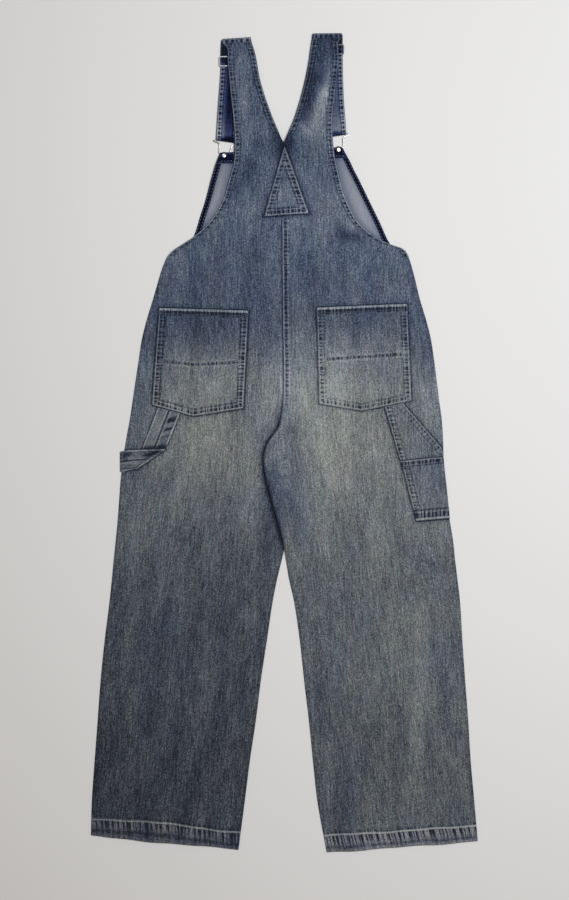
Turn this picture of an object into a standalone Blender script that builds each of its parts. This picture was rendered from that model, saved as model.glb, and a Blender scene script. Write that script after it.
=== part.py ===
"""Denim suspender trousers laid face down, back upwards, built as separate cloth panels.

The frame: +X to the right of the picture, +Y towards the shoulder straps, +Z up from the floor.
Every table is in millimetres. A panel is a loft between two edge curves. Its height comes from
one height function, and what lies on a panel takes its points from that same function.
"""

import math

import bmesh
import bpy
import numpy as np

MM = 0.001
NAME = "denim_suspender_trousers"

# Cloth and seams
WALL = 1.2
GAP = 0.3
LAYER = WALL + GAP
TURNED = 0.8
SEAM_BAND = 11.5
SWELL = 3.0

# Hardware
STRAP_WIDTH = 38.0
STRAP_WALL = 1.0
WIRE_RADIUS = 1.25
WIRE_Z = 3.45
BUTTON_RADIUS = 8.5
BUTTON_CAP = 1.9
SHANK_RADIUS = 2.5
BUTTON_DROP = 29.0
RIVET_RADIUS = 4.0
SLIDE_WIDTH = 43.0
SLIDE_LENGTH = 19.0
SLIDE_BAR = 2.2
SLIDE_Z = (2.6, 4.2)

# How far the top of the bib is held off the floor by the buttons
BIB_LIFT = 5.0
BIB_RAMP = (430.0, 495.0)

# Edge curves, each row: y, x
LEFT_OUTER = (
    (733, -104.0), (727, -103.0), (715, -102.6), (698, -103.5), (662, -100.6), (625, -97.0),
    (589, -93.0), (552, -90.7), (529, -90.5), (509, -92.5), (491, -97.0), (471, -103.0),
    (444, -111.5), (424, -121.5), (401, -138.0), (386, -152.5), (374, -168.0), (362, -186.0),
    (352, -201.5), (343, -210.5), (332, -216.5), (298, -228.4), (261, -239.3), (225, -250.3),
    (188, -259.4), (152, -264.8), (116, -270.3), (79, -275.7), (43, -281.2), (6, -288.0),
    (-30, -293.5), (-66, -297.6), (-139, -303.0), (-212, -310.3), (-285, -317.6), (-358, -326.7),
    (-430, -334.0), (-503, -339.4), (-576, -344.9), (-649, -350.0), (-713, -351.6),
)
LEFT_INNER = (
    (738, -61.5), (727, -59.0), (715, -55.0), (698, -51.0), (662, -44.5), (625, -33.5),
    (589, -20.5), (570, -12.5), (552, -5.0), (541, 1.5), (530, 7.0), (500, 7.0), (400, 7.0),
    (261, 8.0), (116, 9.0), (80, 8.0), (60, 4.0), (45, -0.5), (38, -2.5), (24, -3.0), (12, -2.0),
    (5, 6.0), (-5, 27.0), (-16, 38.0), (-32, 39.0), (-63, 35.0), (-99, 25.3), (-149, 11.3),
    (-192, 0.0), (-212, -5.0), (-248, -13.7), (-285, -21.0), (-358, -32.0), (-430, -42.8),
    (-503, -52.0), (-576, -62.8), (-649, -72.0), (-738, -83.6),
)
RIGHT_OUTER = (
    (745, 95.0), (738, 94.5), (727, 96.5), (715, 98.0), (698, 98.8), (662, 95.5), (625, 91.0),
    (589, 87.4), (556, 87.4), (535, 89.5), (516, 92.5), (485, 99.6), (454, 107.8), (426, 120.0),
    (402, 134.0), (387, 149.0), (374, 168.0), (363, 190.0), (354, 215.0), (345, 223.0),
    (334, 227.2), (298, 237.5), (261, 246.6), (225, 257.5), (188, 266.6), (152, 272.0),
    (116, 276.6), (79, 281.2), (43, 286.0), (6, 288.4), (-30, 289.5), (-66, 292.5), (-136, 300.0),
    (-176, 306.5), (-212, 310.3), (-285, 319.0), (-358, 323.5), (-430, 328.5), (-503, 334.0),
    (-576, 338.5), (-649, 345.0), (-722, 351.4),
)
RIGHT_INNER = (
    (743, 50.8), (735, 50.0), (727, 48.5), (715, 46.8), (698, 44.5), (662, 37.5), (625, 28.2),
    (589, 17.3), (570, 10.0), (556, 4.0), (545, -1.0), (535, -4.5), (500, -4.8), (400, -4.8),
    (261, -3.8), (116, -2.0), (80, -2.5), (60, -5.0), (45, -7.5), (32, -10.5), (20, -17.5),
    (10, -25.5), (0, -31.5), (-10, -35.5), (-20, -38.0), (-32, -38.5), (-63, -35.0),
    (-99, -25.3), (-149, -11.3), (-192, 0.0), (-212, 3.5), (-248, 9.0), (-285, 17.3),
    (-358, 28.2), (-430, 36.0), (-503, 44.6), (-576, 52.0), (-649, 60.0), (-743, 77.0),
)
BIB_LEFT = (
    (528, -117.0), (520, -120.5), (508, -125.0), (491, -130.0), (474, -135.0), (443, -144.0),
    (412, -154.0), (379, -164.5), (358, -176.0), (326, -204.0),
)
BIB_RIGHT = (
    (538, 105.0), (526, 111.5), (514, 118.0), (495, 127.0), (478, 136.0), (438, 156.0),
    (400, 174.5), (372, 187.0), (358, 195.0), (326, 213.0),
)

# Hidden front panels keep the outer edges; these are their middle edges: y, x
FRONT_LEFT_INNER = (
    (338, 0.0), (60, 0.0), (38, 0.0), (24, 0.0), (14, 2.0), (5, 10.0), (-5, 27.0), (-16, 37.0),
    (-32, 38.0), (-63, 34.0), (-99, 24.5), (-149, 10.8), (-192, -0.5), (-212, -5.5),
    (-248, -13.7), (-285, -21.0), (-358, -32.0), (-430, -42.8), (-503, -52.0), (-576, -62.8),
    (-649, -72.0), (-738, -83.6),
)
FRONT_RIGHT_INNER = (
    (338, 0.5), (60, 0.5), (38, 0.8), (24, 0.8), (14, 0.0), (5, -8.0), (-5, -21.0),
    (-16, -32.0), (-32, -37.5), (-63, -34.0), (-99, -24.5), (-149, -10.8), (-192, 0.5),
    (-212, 3.8), (-248, 9.0), (-285, 17.3), (-358, 28.2), (-430, 36.0), (-503, 44.6),
    (-576, 52.0), (-649, 60.0), (-743, 77.0),
)

# Heights of the back straps' undersides, each row: y, at the outer edge, at the inner edge
LEFT_STRAP_Z = (
    (548, 8.0, 8.0), (575, 8.0, 7.0), (625, 7.8, 4.2), (662, 7.5, 3.8), (699, 7.3, 4.2),
    (716, 5.6, 4.3), (730, 4.5, 4.5),
)
RIGHT_STRAP_Z = (
    (548, 8.0, 8.0), (575, 8.0, 7.0), (625, 7.8, 4.2), (662, 7.5, 3.8), (706, 7.4, 4.6),
    (720, 7.4, 4.6), (731, 5.6, 4.5), (740, 4.5, 4.5),
)

# Rows of the panels
STRAP_ROWS = (698, 680, 655, 625, 598, 575, 556, 545, 530, 508)
RAMP_ROWS = (495, 482, 469, 456, 443, 430)
CHEST_ROWS = (412, 394, 376, 362, 350, 341, 330)
SEAT_ROWS = (316, 296, 268, 230, 190, 152, 116, 84, 60, 45, 38, 31, 24, 17, 10, 3, -6)
LEG_ROWS = (-16, -27, -42, -63, -88, -118, -150, -175, -192, -212, -235, -260, -320, -400, -490, -580)
HEM_DEPTH = 29.0
LEFT_HEM = (-713.0, -738.0)
RIGHT_HEM = (-722.5, -743.5)

# Shoulder ends of the back straps: y at the outer edge, y at the inner edge
LEFT_TOP = (733.0, 736.5)
RIGHT_TOP = (743.5, 743.0)
FOLD_Z = 3.6
FOLD_RADIUS = 1.5
FOLD_BACK = 7.0
TOP_FLARE = 9.5

# Back pockets: corners in order top left, top right, bottom right, tip, bottom left
POCKET_LEFT = ((-228.2, 246.5), (-64.8, 241.5), (-74.1, 63.5), (-166.0, 49.1), (-241.3, 69.8))
POCKET_RIGHT = ((57.9, 247.0), (223.3, 254.0), (231.0, 77.7), (140.5, 58.8), (62.6, 71.9))
POCKET_HEM = 12.5

# Tool pocket, each row: left x, left y, right x, right y
TOOL_UPPER = (
    (181.5, 66.3, 215.7, 73.3), (187.0, 47.0, 238.0, 48.0), (194.5, 20.0, 262.0, 20.5),
    (202.5, -8.0, 286.0, -7.0), (209.3, -30.2, 288.6, -22.6),
)
TOOL_LOWER = (
    (210.2, -31.0, 288.9, -23.4), (213.4, -42.5, 290.0, -34.9), (213.7, -43.5, 290.1, -35.9),
    (220.5, -70.0, 293.0, -64.0), (227.5, -98.0, 296.2, -92.0), (233.8, -121.0, 298.5, -115.5),
    (234.1, -122.0, 298.6, -116.5), (239.1, -141.6, 300.6, -136.4),
)

# Hammer loop strip, each row: edge A x, y, edge B x, y, extra height
LOOP_UNDER = (
    (-229.5, 65.0, -189.5, 54.6, 0.0), (-238.0, 43.0, -197.0, 36.0, 0.0),
    (-247.5, 18.0, -205.5, 14.0, 0.0), (-258.0, -8.0, -212.5, -2.0, 0.0),
    (-270.0, -46.0, -217.5, -10.5, 0.0),
)
LOOP_OVER = (
    (-270.0, -46.0, -217.5, -10.5, 1.5), (-277.0, -47.5, -240.0, -11.0, 1.5),
    (-284.0, -49.0, -265.0, -11.6, 1.5), (-291.0, -50.5, -288.0, -12.6, 1.0),
)
LOOP_END = ((-296.5, -51.6, -296.5, -14.0, 3.6), (-298.4, -52.0, -298.6, -14.8, 2.2),
            (-298.2, -51.8, -298.4, -14.6, 0.7))

# Triangle patch: apex, bottom left, bottom right
PATCH = ((0.0, 541.5), (-38.0, 411.5), (45.0, 417.3))

# Front straps: slide centre y, top end y, then rows y, centre x; the buckle's centre and tilt
LEFT_FRONT_STRAP = (694.5, 732.6, ((733, -96.0), (706, -97.5), (684, -97.5), (625, -101.0),
                                   (553, -105.0), (540, -105.7)))
RIGHT_FRONT_STRAP = (716.0, 743.0, ((745, 86.5), (728, 86.8), (704, 86.8), (625, 88.8), (563, 93.5),
                                    (550, 94.0)))
LEFT_BUCKLE = (-105.7, 551.0, -8.0)
RIGHT_BUCKLE = (94.0, 561.5, 8.0)

# Path of a front strap through its slide: y from the slide's centre, height of its middle
SLIDE_PATH = (
    (14.0, 2.4), (9.5, 1.8), (6.8, 1.8), (5.4, 2.3), (4.5, 3.5), (3.8, 5.0), (2.8, 6.1),
    (1.3, 6.4), (-1.3, 6.4), (-2.8, 6.1), (-3.8, 5.0), (-4.5, 3.5), (-5.4, 2.3), (-6.8, 1.8),
    (-9.5, 1.8),
)
LOOP_PATH = (
    (-9.5, 0.5), (-6.5, 0.5), (-4.4, 0.8), (-2.9, 1.4), (-1.2, 1.7), (0.9, 1.7), (2.1, 2.3),
    (2.5, 3.4), (2.1, 4.5), (0.9, 5.1), (-1.0, 5.1),
)

# Wire buckle outline, right half, from the head bar's middle: across, along
WIRE_HALF = (
    (0.0, 0.0), (10.0, 0.0), (18.0, 0.0), (21.3, -0.6), (22.6, -2.4), (21.2, -4.2),
    (17.0, -5.4), (13.2, -7.0), (11.4, -9.4), (10.8, -13.0), (10.2, -20.0), (8.8, -25.0),
    (6.0, -28.4), (4.2, -31.4), (2.6, -33.6), (0.0, -34.4),
)

# Colours: name, red, green, blue, roughness, metallic
COLOURS = {
    "denim_worn": (0.125, 0.145, 0.165, 0.92, 0.0),
    "denim_pale": (0.165, 0.185, 0.2, 0.92, 0.0),
    "denim_dark": (0.03, 0.036, 0.075, 0.9, 0.0),
    "denim_inside": (0.22, 0.235, 0.25, 0.92, 0.0),
    "metal_silver": (0.62, 0.61, 0.59, 0.36, 1.0),
}


def clear_scene():
    """Removes what the file starts with."""
    for thing in list(bpy.data.objects):
        bpy.data.objects.remove(thing, do_unlink=True)


def make_collection(name):
    """A collection linked to the scene."""
    group = bpy.data.collections.new(name)
    bpy.context.scene.collection.children.link(group)
    return group


def make_material(name, slot):
    """A plain material with one of the named colours."""
    red, green, blue, rough, metal = COLOURS[slot]
    material = bpy.data.materials.new(name)
    material.use_nodes = True
    shader = material.node_tree.nodes["Principled BSDF"]
    shader.inputs["Base Color"].default_value = (red, green, blue, 1.0)
    shader.inputs["Roughness"].default_value = rough
    shader.inputs["Metallic"].default_value = metal
    material.diffuse_color = (red, green, blue, 1.0)
    return material


def ease(value, low, high):
    """0 below low, 1 above high and a smooth step between them."""
    part = np.clip((np.asarray(value, float) - low) / (high - low), 0.0, 1.0)
    return part * part * (3.0 - 2.0 * part)


def curve_at(rows, y, column=1):
    """A smooth curve through the rows of a table, read at y."""
    data = sorted((row[0], row[column]) for row in rows)
    ys = np.array([row[0] for row in data], float)
    xs = np.array([row[1] for row in data], float)
    steps = np.diff(xs) / np.diff(ys)
    slopes = np.concatenate([[steps[0]], 0.5 * (steps[:-1] + steps[1:]), [steps[-1]]])
    y = np.clip(np.asarray(y, float), ys[0], ys[-1])
    index = np.clip(np.searchsorted(ys, y, side="right") - 1, 0, len(ys) - 2)
    width = ys[index + 1] - ys[index]
    t = (y - ys[index]) / width
    a = (1 + 2 * t) * (1 - t) ** 2 * xs[index]
    b = t * (1 - t) ** 2 * width * slopes[index]
    c = t * t * (3 - 2 * t) * xs[index + 1]
    d = t * t * (t - 1) * width * slopes[index + 1]
    return a + b + c + d


def pillow(part):
    """A flat-topped swell across a panel."""
    return 1.0 - (2.0 * np.clip(part, 0.0, 1.0) - 1.0) ** 4


def back_base(y):
    """Underside of both back panels at their side seams."""
    return 1.5 + 1.5 * ease(y, 285, 316) + BIB_LIFT * ease(y, *BIB_RAMP)


def bib_under(x, y):
    """Underside of the bib: on the floor, over the waist seam, and lifted by the buttons."""
    return 1.5 * (1.0 - ease(y, 340, 358)) + BIB_LIFT * ease(y, *BIB_RAMP) + 0.0 * x


def swell_at(y):
    """How far a back panel stands off the front panel at mid width."""
    return SWELL * (1.0 - ease(y, 330, 470))


def front_left_under(x, y):
    """The left front panel lies flat on the floor."""
    return 0.0 * x + 0.0 * y


def crotch_window(y):
    """1 where the right leg is folded over the left one."""
    return (1.0 - ease(y, 16, 42)) * ease(y, -255, -196)


def front_right_under(x, y):
    """The right front panel rises over both left panels at the crotch."""
    return 2 * LAYER * crotch_window(y) * (1.0 - ease(x, 50, 95))


def back_left_under(x, y):
    """Underside of the left back panel."""
    outer = curve_at(LEFT_OUTER, y)
    inner = curve_at(LEFT_INNER, y)
    part = (x - outer) / (inner - outer - 14.0)
    low = 1.0 - ease(x, -80, -46) * ease(y, -260, -200) * (1.0 - ease(y, 25, 60))
    under = back_base(y) + swell_at(y) * pillow(part) * low
    under = under + 1.1 * ease(y, 10, 60) * ease(x, -60, -12) * (1.0 - ease(y, 548, 590))
    strap = ease((x - outer) / (inner - outer), 0.55, 1.0)
    z_out = curve_at(LEFT_STRAP_Z, y, 1)
    z_in = curve_at(LEFT_STRAP_Z, y, 2)
    return np.where(np.asarray(y) > 548, under - 8.0 + z_out + (z_in - z_out) * strap, under)


def back_right_under(x, y):
    """Underside of the right back panel, which is felled over the left one at the centre."""
    outer = curve_at(RIGHT_OUTER, y)
    inner = curve_at(RIGHT_INNER, y)
    part = (outer - x) / (outer - inner - 14.0)
    under = back_base(y) + swell_at(y) * pillow(part) + front_right_under(x, y)
    rise = 2.6 * ease(y, 10, 38) * (1.0 - ease(x, 10, 60)) * (1.0 - ease(y, 556, 600))
    strap = ease((outer - x) / (outer - inner), 0.55, 1.0)
    z_out = curve_at(RIGHT_STRAP_Z, y, 1)
    z_in = curve_at(RIGHT_STRAP_Z, y, 2)
    under = under + rise
    return np.where(np.asarray(y) > 548, under - 8.0 + z_out + (z_in - z_out) * strap, under)


def back_top(x, y):
    """Top of the back where both panels and their seam are covered by the patch."""
    left = back_left_under(x, y)
    right = back_right_under(x, y)
    return left + (right - left) * ease(x, -28, -11) + WALL


def add_cloth(name, under, up, slot, group, extra=None, wall=WALL):
    """A closed sheet of cloth: its underside's grid, moved along up by its wall."""
    under = np.asarray(under, float)
    rows, cols = under.shape[:2]
    thick = np.full((rows, cols), wall)
    if extra is not None:
        thick = thick + extra
    top = under + up * thick[..., None]
    verts = np.concatenate([under.reshape(-1, 3), top.reshape(-1, 3)]) * MM
    size = rows * cols

    def at(r, c, side):
        return side * size + r * cols + c

    faces = []
    for r in range(rows - 1):
        for c in range(cols - 1):
            quad = [(r, c), (r, c + 1), (r + 1, c + 1), (r + 1, c)]
            faces.append([at(i, j, 1) for i, j in quad])
            faces.append([at(i, j, 0) for i, j in reversed(quad)])
    rim = [(0, c) for c in range(cols)]
    rim += [(r, cols - 1) for r in range(1, rows)]
    rim += [(rows - 1, c) for c in range(cols - 2, -1, -1)]
    rim += [(r, 0) for r in range(rows - 2, 0, -1)]
    for k, (i, j) in enumerate(rim):
        m, n = rim[(k + 1) % len(rim)]
        faces.append([at(i, j, 0), at(m, n, 0), at(m, n, 1), at(i, j, 1)])
    mesh = bpy.data.meshes.new(name)
    mesh.from_pydata(verts.tolist(), [], faces)
    return finish_mesh(name, mesh, slot, group, smooth=True)


def finish_mesh(name, mesh, slot, group, smooth=False):
    """Turns a mesh into a named object with outward faces and its own material."""
    work = bmesh.new()
    work.from_mesh(mesh)
    bmesh.ops.remove_doubles(work, verts=work.verts, dist=0.000001)
    bmesh.ops.recalc_face_normals(work, faces=work.faces)
    work.to_mesh(mesh)
    work.free()
    mesh.materials.append(make_material(name + "_" + slot, slot))
    if smooth:
        mesh.shade_smooth()
        mesh.set_sharp_from_angle(angle=math.radians(40))
    thing = bpy.data.objects.new(name, mesh)
    group.objects.link(thing)
    return thing


def field_points(x, y, height):
    """Points of a grid whose height is a function of x and y."""
    z = height(x, y)
    return np.stack([x, y, z], axis=-1)


def upwards(points):
    """The same upward direction at every point."""
    up = np.zeros_like(points)
    up[..., 2] = 1.0
    return up


def panel_rows(outer, inner, rows, middle, band=SEAM_BAND):
    """Grid of a panel between two edge curves, with a column each side of the edge bands."""
    xs = []
    ys = []
    for y_out, y_in in rows:
        x_out = float(curve_at(outer, y_out))
        x_in = float(curve_at(inner, y_in))
        width = math.hypot(x_in - x_out, y_in - y_out)
        side = min(band / width, 0.27)
        step = 1.0 / width
        parts = [0.0, side, side + step]
        parts += list(np.linspace(side + step, 1 - side - step, middle + 2)[1:-1])
        parts += [1 - side - step, 1 - side, 1.0]
        parts = np.array(parts)
        xs.append(x_out + (x_in - x_out) * parts)
        ys.append(y_out + (y_in - y_out) * parts)
    return np.array(xs), np.array(ys)


def level_rows(values):
    """Rows that run straight across."""
    return [(float(v), float(v)) for v in values]


def hem_rows(hem):
    """The slanting rows at a trouser hem: above the turned edge, its step and the cut edge."""
    y_out, y_in = hem
    rows = [(y_out + HEM_DEPTH + 14, y_in + HEM_DEPTH + 14)]
    rows += [(y_out + HEM_DEPTH + 1, y_in + HEM_DEPTH + 1), (y_out + HEM_DEPTH, y_in + HEM_DEPTH)]
    rows += [(y_out + 14, y_in + 14), (y_out, y_in)]
    return rows


def build_back(name, outer, inner, height, hem, top, felled, group):
    """A back panel with its cut-on strap, which is turned under at the shoulder."""
    values = [v for v in STRAP_ROWS if v < min(top) - 12]
    body = level_rows(values + list(RAMP_ROWS + CHEST_ROWS + SEAT_ROWS + LEG_ROWS))
    start = [(top[0], top[1]), (top[0] - 7.0, top[1] - 7.0), (top[0] - 8.0, top[1] - 8.0)]
    start += [(top[0] - 16.0, top[1] - 16.0)]
    if top[0] - 26 > values[0] + 8:
        start += [(top[0] - 27.0, top[1] - 27.0)]
    rows = start + body + hem_rows(hem)
    x, y = panel_rows(outer, inner, rows, 8)
    side = -1.0 if x[0, 0] < 0 else 1.0
    flare = np.zeros_like(x)
    shape = np.linspace(1.0, 0.0, x.shape[1]) ** 1.5
    flare[0] = side * TOP_FLARE * shape
    flare[1] = side * TOP_FLARE * 0.9 * shape
    flare[2] = side * TOP_FLARE * 0.85 * shape
    flare[3] = side * TOP_FLARE * 0.15 * shape
    under = field_points(x, y, height)
    under[..., 0] += flare
    extra = np.zeros_like(x)
    edge_out = (y > 338) & (y < top[0] - 5)
    extra[:, 0:2] += TURNED * edge_out[:, 0:2]
    edge_in = (y > 556) & (y < top[0] - 5)
    if felled:
        edge_in = edge_in | ((y < 404) & (y > -20))
    extra[:, -2:] += TURNED * edge_in[:, -2:]
    extra[0:2] = TURNED
    extra[2:4] = 0.0
    extra[-3:] = TURNED
    extra[-3, :] = TURNED
    up = upwards(under)
    fold, fold_up = shoulder_fold(under[0])
    under = np.concatenate([fold, under])
    up = np.concatenate([fold_up, up])
    extra = np.concatenate([np.zeros((fold.shape[0], x.shape[1])), extra])
    return add_cloth(name, under, up, "denim_worn", group, extra)


def shoulder_fold(first):
    """Rows of the strap's end turned round and under, from the flap's edge to the first row."""
    fold = []
    fold_up = []
    inner = FOLD_RADIUS - WALL / 2
    angles = [-90.0, -54.0, -18.0, 18.0, 54.0]
    for run in (FOLD_BACK, 0.4):
        row = first.copy()
        row[:, 1] = first[:, 1] - run
        row[:, 2] = FOLD_Z - inner
        fold.append(row)
        fold_up.append(np.tile([0.0, 0.0, -1.0], (len(row), 1)))
    for angle in angles[1:]:
        turn = math.radians(angle)
        row = first.copy()
        row[:, 1] = first[:, 1] + inner * math.cos(turn)
        row[:, 2] = FOLD_Z + inner * math.sin(turn)
        fold.append(row)
        fold_up.append(np.tile([0.0, math.cos(turn), math.sin(turn)], (len(row), 1)))
    return np.array(fold), np.array(fold_up)


def build_front(name, outer, inner, height, hem, group):
    """A front leg panel, flat on the floor under the back."""
    rows = level_rows([338, 325, 305, 280, 243, 206, 170, 134, 98])
    rows += level_rows([v for v in SEAT_ROWS if v <= 80] + list(LEG_ROWS)) + hem_rows(hem)[-1:]
    x, y = panel_rows(outer, inner, rows, 8)
    keep = [0] + list(range(3, x.shape[1] - 3)) + [x.shape[1] - 1]
    x = x[:, keep]
    y = y[:, keep]
    points = field_points(x, y, height)
    return add_cloth(name, points, upwards(points), "denim_worn", group)


def build_bib(group):
    """The front bib, seen from its wrong side in the armholes."""
    rows = [(528.0, 538.0), (517.0, 524.0), (506.0, 509.0)]
    rows += level_rows(RAMP_ROWS + (412, 390, 372, 364, 358, 352, 346, 340, 326))
    x, y = panel_rows(BIB_LEFT, BIB_RIGHT, rows, 8)
    keep = [0] + list(range(2, x.shape[1] - 2)) + [x.shape[1] - 1]
    points = field_points(x[:, keep], y[:, keep], bib_under)
    add_cloth("front_bib", points, upwards(points), "denim_inside", group)


def facing_height(x, y):
    """Underside of what is sewn on the bib's wrong side."""
    return bib_under(x, y) + LAYER


def build_facings(group):
    """Dark bands sewn along the bib's top and side edges."""
    across = np.linspace(0.0, 1.0, 11)
    x = np.array([-117.0 + (104.6 + 117.0) * across, -123.0 + (113.0 + 123.0) * across])
    y = np.array([527.4 + (537.4 - 527.4) * across, 508.5 + (519.0 - 508.5) * across])
    points = field_points(x, y, facing_height)
    add_cloth("bib_facing_top", points, upwards(points), "denim_dark", group)
    for side, edge, first, sign in (("left", BIB_LEFT, 507.0, 1.0), ("right", BIB_RIGHT, 517.5, -1.0)):
        rows = np.array([first, first - 5] + list(RAMP_ROWS) + [412.0, 390.0, 372.0, 361.0])
        outer = curve_at(edge, rows) + sign * 0.4
        x = np.stack([outer, outer + sign * 9.6], axis=1)
        y = np.stack([rows, rows], axis=1)
        points = field_points(x, y, facing_height)
        add_cloth("bib_facing_" + side, points, upwards(points), "denim_dark", group)


def build_pocket(name, corners, height, group):
    """A five-cornered back pocket with a turned top edge, laid on its panel."""
    top_left, top_right, low_right, tip, low_left = [np.array(p, float) for p in corners]
    split = (tip[0] - low_left[0]) / (low_right[0] - low_left[0])
    parts = np.concatenate([np.linspace(0.0, split, 5), np.linspace(split, 1.0, 6)[1:]])
    length = np.linalg.norm(top_left - low_left)
    hem = POCKET_HEM / length
    downs = np.array([0.0, hem, hem + 1.0 / length, 0.2, 0.35, 0.5, 0.65, 0.8, 0.92, 1.0])
    grid = []
    for down in downs:
        row = []
        for part in parts:
            high = top_left + (top_right - top_left) * part
            if part <= split:
                low = low_left + (tip - low_left) * (part / split)
            else:
                low = tip + (low_right - tip) * ((part - split) / (1 - split))
            row.append(high + (low - high) * down)
        grid.append(row)
    grid = np.array(grid)
    points = field_points(grid[..., 0], grid[..., 1], height)
    points[..., 2] += LAYER
    extra = np.zeros(grid.shape[:2])
    extra[0:2] = TURNED
    return add_cloth(name, points, upwards(points), "denim_pale", group, extra)


def build_tool_pocket(group):
    """Two pieces of the tool pocket on the right leg; the lower one has turned edges."""
    parts = np.linspace(0.0, 1.0, 6)
    for name, table in (("tool_pocket_upper", TOOL_UPPER), ("tool_pocket_lower", TOOL_LOWER)):
        rows = np.array(table)
        x = rows[:, 0:1] + (rows[:, 2:3] - rows[:, 0:1]) * parts
        y = rows[:, 1:2] + (rows[:, 3:4] - rows[:, 1:2]) * parts
        points = field_points(x, y, back_right_under)
        points[..., 2] += LAYER
        extra = np.zeros(x.shape)
        if name == "tool_pocket_lower":
            extra[0:2] = TURNED
            extra[-2:] = TURNED
        add_cloth(name, points, upwards(points), "denim_worn", group, extra)


def strip_solid(name, middle, slot, group, wall):
    """A closed strip round its middle surface, its wall laid along the surface's own normals."""
    middle = np.asarray(middle, float)
    along = np.gradient(middle, axis=0)
    across = np.gradient(middle, axis=1)
    normal = np.cross(across, along)
    normal = normal / np.linalg.norm(normal, axis=-1, keepdims=True)
    return add_cloth(name, middle - normal * wall / 2, normal, slot, group, wall=wall)


def build_hammer_loop(group):
    """The folded strip as one surface: the lower run, the diagonal fold and the upper run."""
    parts = np.linspace(0.0, 1.0, 5)
    half = WALL / 2
    rows = []
    for ax, ay, bx, by, _ in LOOP_UNDER:
        x = ax + (bx - ax) * parts
        y = ay + (by - ay) * parts
        row = field_points(x, y, back_left_under)
        row[:, 2] += LAYER + half
        rows.append(row)
    low = rows[-1]
    out = np.array([0.56, -0.83, 0.0])
    radius = LAYER / 2
    for turn in (-50.0, 0.0, 50.0):
        angle = math.radians(turn)
        row = low + out * radius * math.cos(angle)
        row[:, 2] = low[:, 2] + radius + radius * math.sin(angle)
        rows.append(row)
    for ax, ay, bx, by, lift in LOOP_OVER:
        x = ax + (bx - ax) * parts
        y = ay + (by - ay) * parts
        row = field_points(x, y, back_left_under)
        row[:, 2] += LAYER + half + lift
        rows.append(row)
    for ax, ay, bx, by, height in LOOP_END:
        x = ax + (bx - ax) * parts
        y = ay + (by - ay) * parts
        rows.append(np.stack([x, y, np.full(len(x), height)], axis=-1))
    return strip_solid("hammer_loop", rows, "denim_worn", group, WALL)


def build_patch(group):
    """The triangle sewn over the crossing of the two back straps."""
    apex, left, right = [np.array(p, float) for p in PATCH]
    levels = [541.5, 535.0, 520.0, 508.0] + list(RAMP_ROWS) + [422.0]
    slope = (right[1] - left[1]) / (right[0] - left[0])
    xs = []
    ys = []
    parts = np.linspace(0.0, 1.0, 9)
    for level in levels[:-1] + [None]:
        if level is None:
            start, end = left, right
        else:
            down_left = (apex[1] - level) / (apex[1] - left[1])
            down_right = (apex[1] - level) / (apex[1] - right[1])
            start = apex + (left - apex) * down_left
            end = apex + (right - apex) * min(down_right, 1.0)
            if level == levels[0]:
                start = apex - np.array([1.2, 0.0])
                end = apex + np.array([1.2, 0.0])
        xs.append(start[0] + (end[0] - start[0]) * parts)
        ys.append(start[1] + (end[1] - start[1]) * parts)
    x = np.array(xs)
    y = np.array(ys)
    points = field_points(x, y, back_top)
    points[..., 2] += GAP + 0.1
    add_cloth("back_triangle", points, upwards(points), "denim_worn", group)
    return slope


def build_front_strap(name, table, buckle, group):
    """A front strap: down from the shoulder, through the slide, round the buckle and back."""
    centre, top, lines = table
    bar_x, bar_y, tilt = buckle
    path = [(top, FOLD_Z), (top - 3.0, FOLD_Z), (top - 8.2, FOLD_Z)]
    if top - 8.2 > centre + 24:
        path.append((centre + 20.0, 3.2))
    path += [(centre + y, z) for y, z in SLIDE_PATH]
    ride = WIRE_RADIUS + 1.5 * GAP + STRAP_WALL / 2
    for part in (0.12, 0.3, 0.5, 0.7, 0.88):
        path.append((centre - 9.5 + (bar_y - centre + 9.5) * part, 1.8 + 3.7 * ease(part, 0, 1)))
    path.append((bar_y, WIRE_Z + ride))
    for angle in (120.0, 150.0, 180.0, 210.0, 240.0):
        turn = math.radians(angle)
        path.append((bar_y + ride * math.cos(turn), WIRE_Z + ride * math.sin(turn)))
    path.append((bar_y, WIRE_Z - ride))
    for part in (0.12, 0.35, 0.65, 0.9):
        path.append((bar_y + (centre - 9.5 - bar_y) * part, 1.4 - 0.9 * ease(part, 0, 1)))
    path += [(centre + y, z) for y, z in LOOP_PATH]
    half = STRAP_WIDTH / 2
    middle = []
    for y, z in path:
        x = float(curve_at(lines, y))
        turn = math.radians(tilt) * float(1.0 - ease(y, bar_y + 5, bar_y + 90))
        row = []
        for part in (-1.0, 0.0, 1.0):
            row.append((x + part * half * math.cos(turn), y + part * half * math.sin(turn), float(z)))
        middle.append(row)
    strip_solid(name, middle, "denim_dark", group, STRAP_WALL)


def build_wire(name, buckle, group):
    """The wire buckle: one closed bent wire with a wide head, a neck and a narrow end."""
    bar_x, bar_y, tilt = buckle
    outline = list(WIRE_HALF) + [(-x, y) for x, y in reversed(WIRE_HALF[1:-1])]
    curve = bpy.data.curves.new(name, "CURVE")
    curve.dimensions = "3D"
    spline = curve.splines.new("POLY")
    spline.points.add(len(outline) - 1)
    turn = math.radians(tilt)
    for point, (x, y) in zip(spline.points, outline):
        across = x * math.cos(turn) - y * math.sin(turn)
        along = x * math.sin(turn) + y * math.cos(turn)
        point.co = ((bar_x + across) * MM, (bar_y + along) * MM, WIRE_Z * MM, 1.0)
    spline.use_cyclic_u = True
    curve.bevel_depth = WIRE_RADIUS * MM
    curve.bevel_resolution = 2
    mesh = mesh_of_curve(name, curve)
    finish_mesh(name, mesh, "metal_silver", group, smooth=True)


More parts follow.
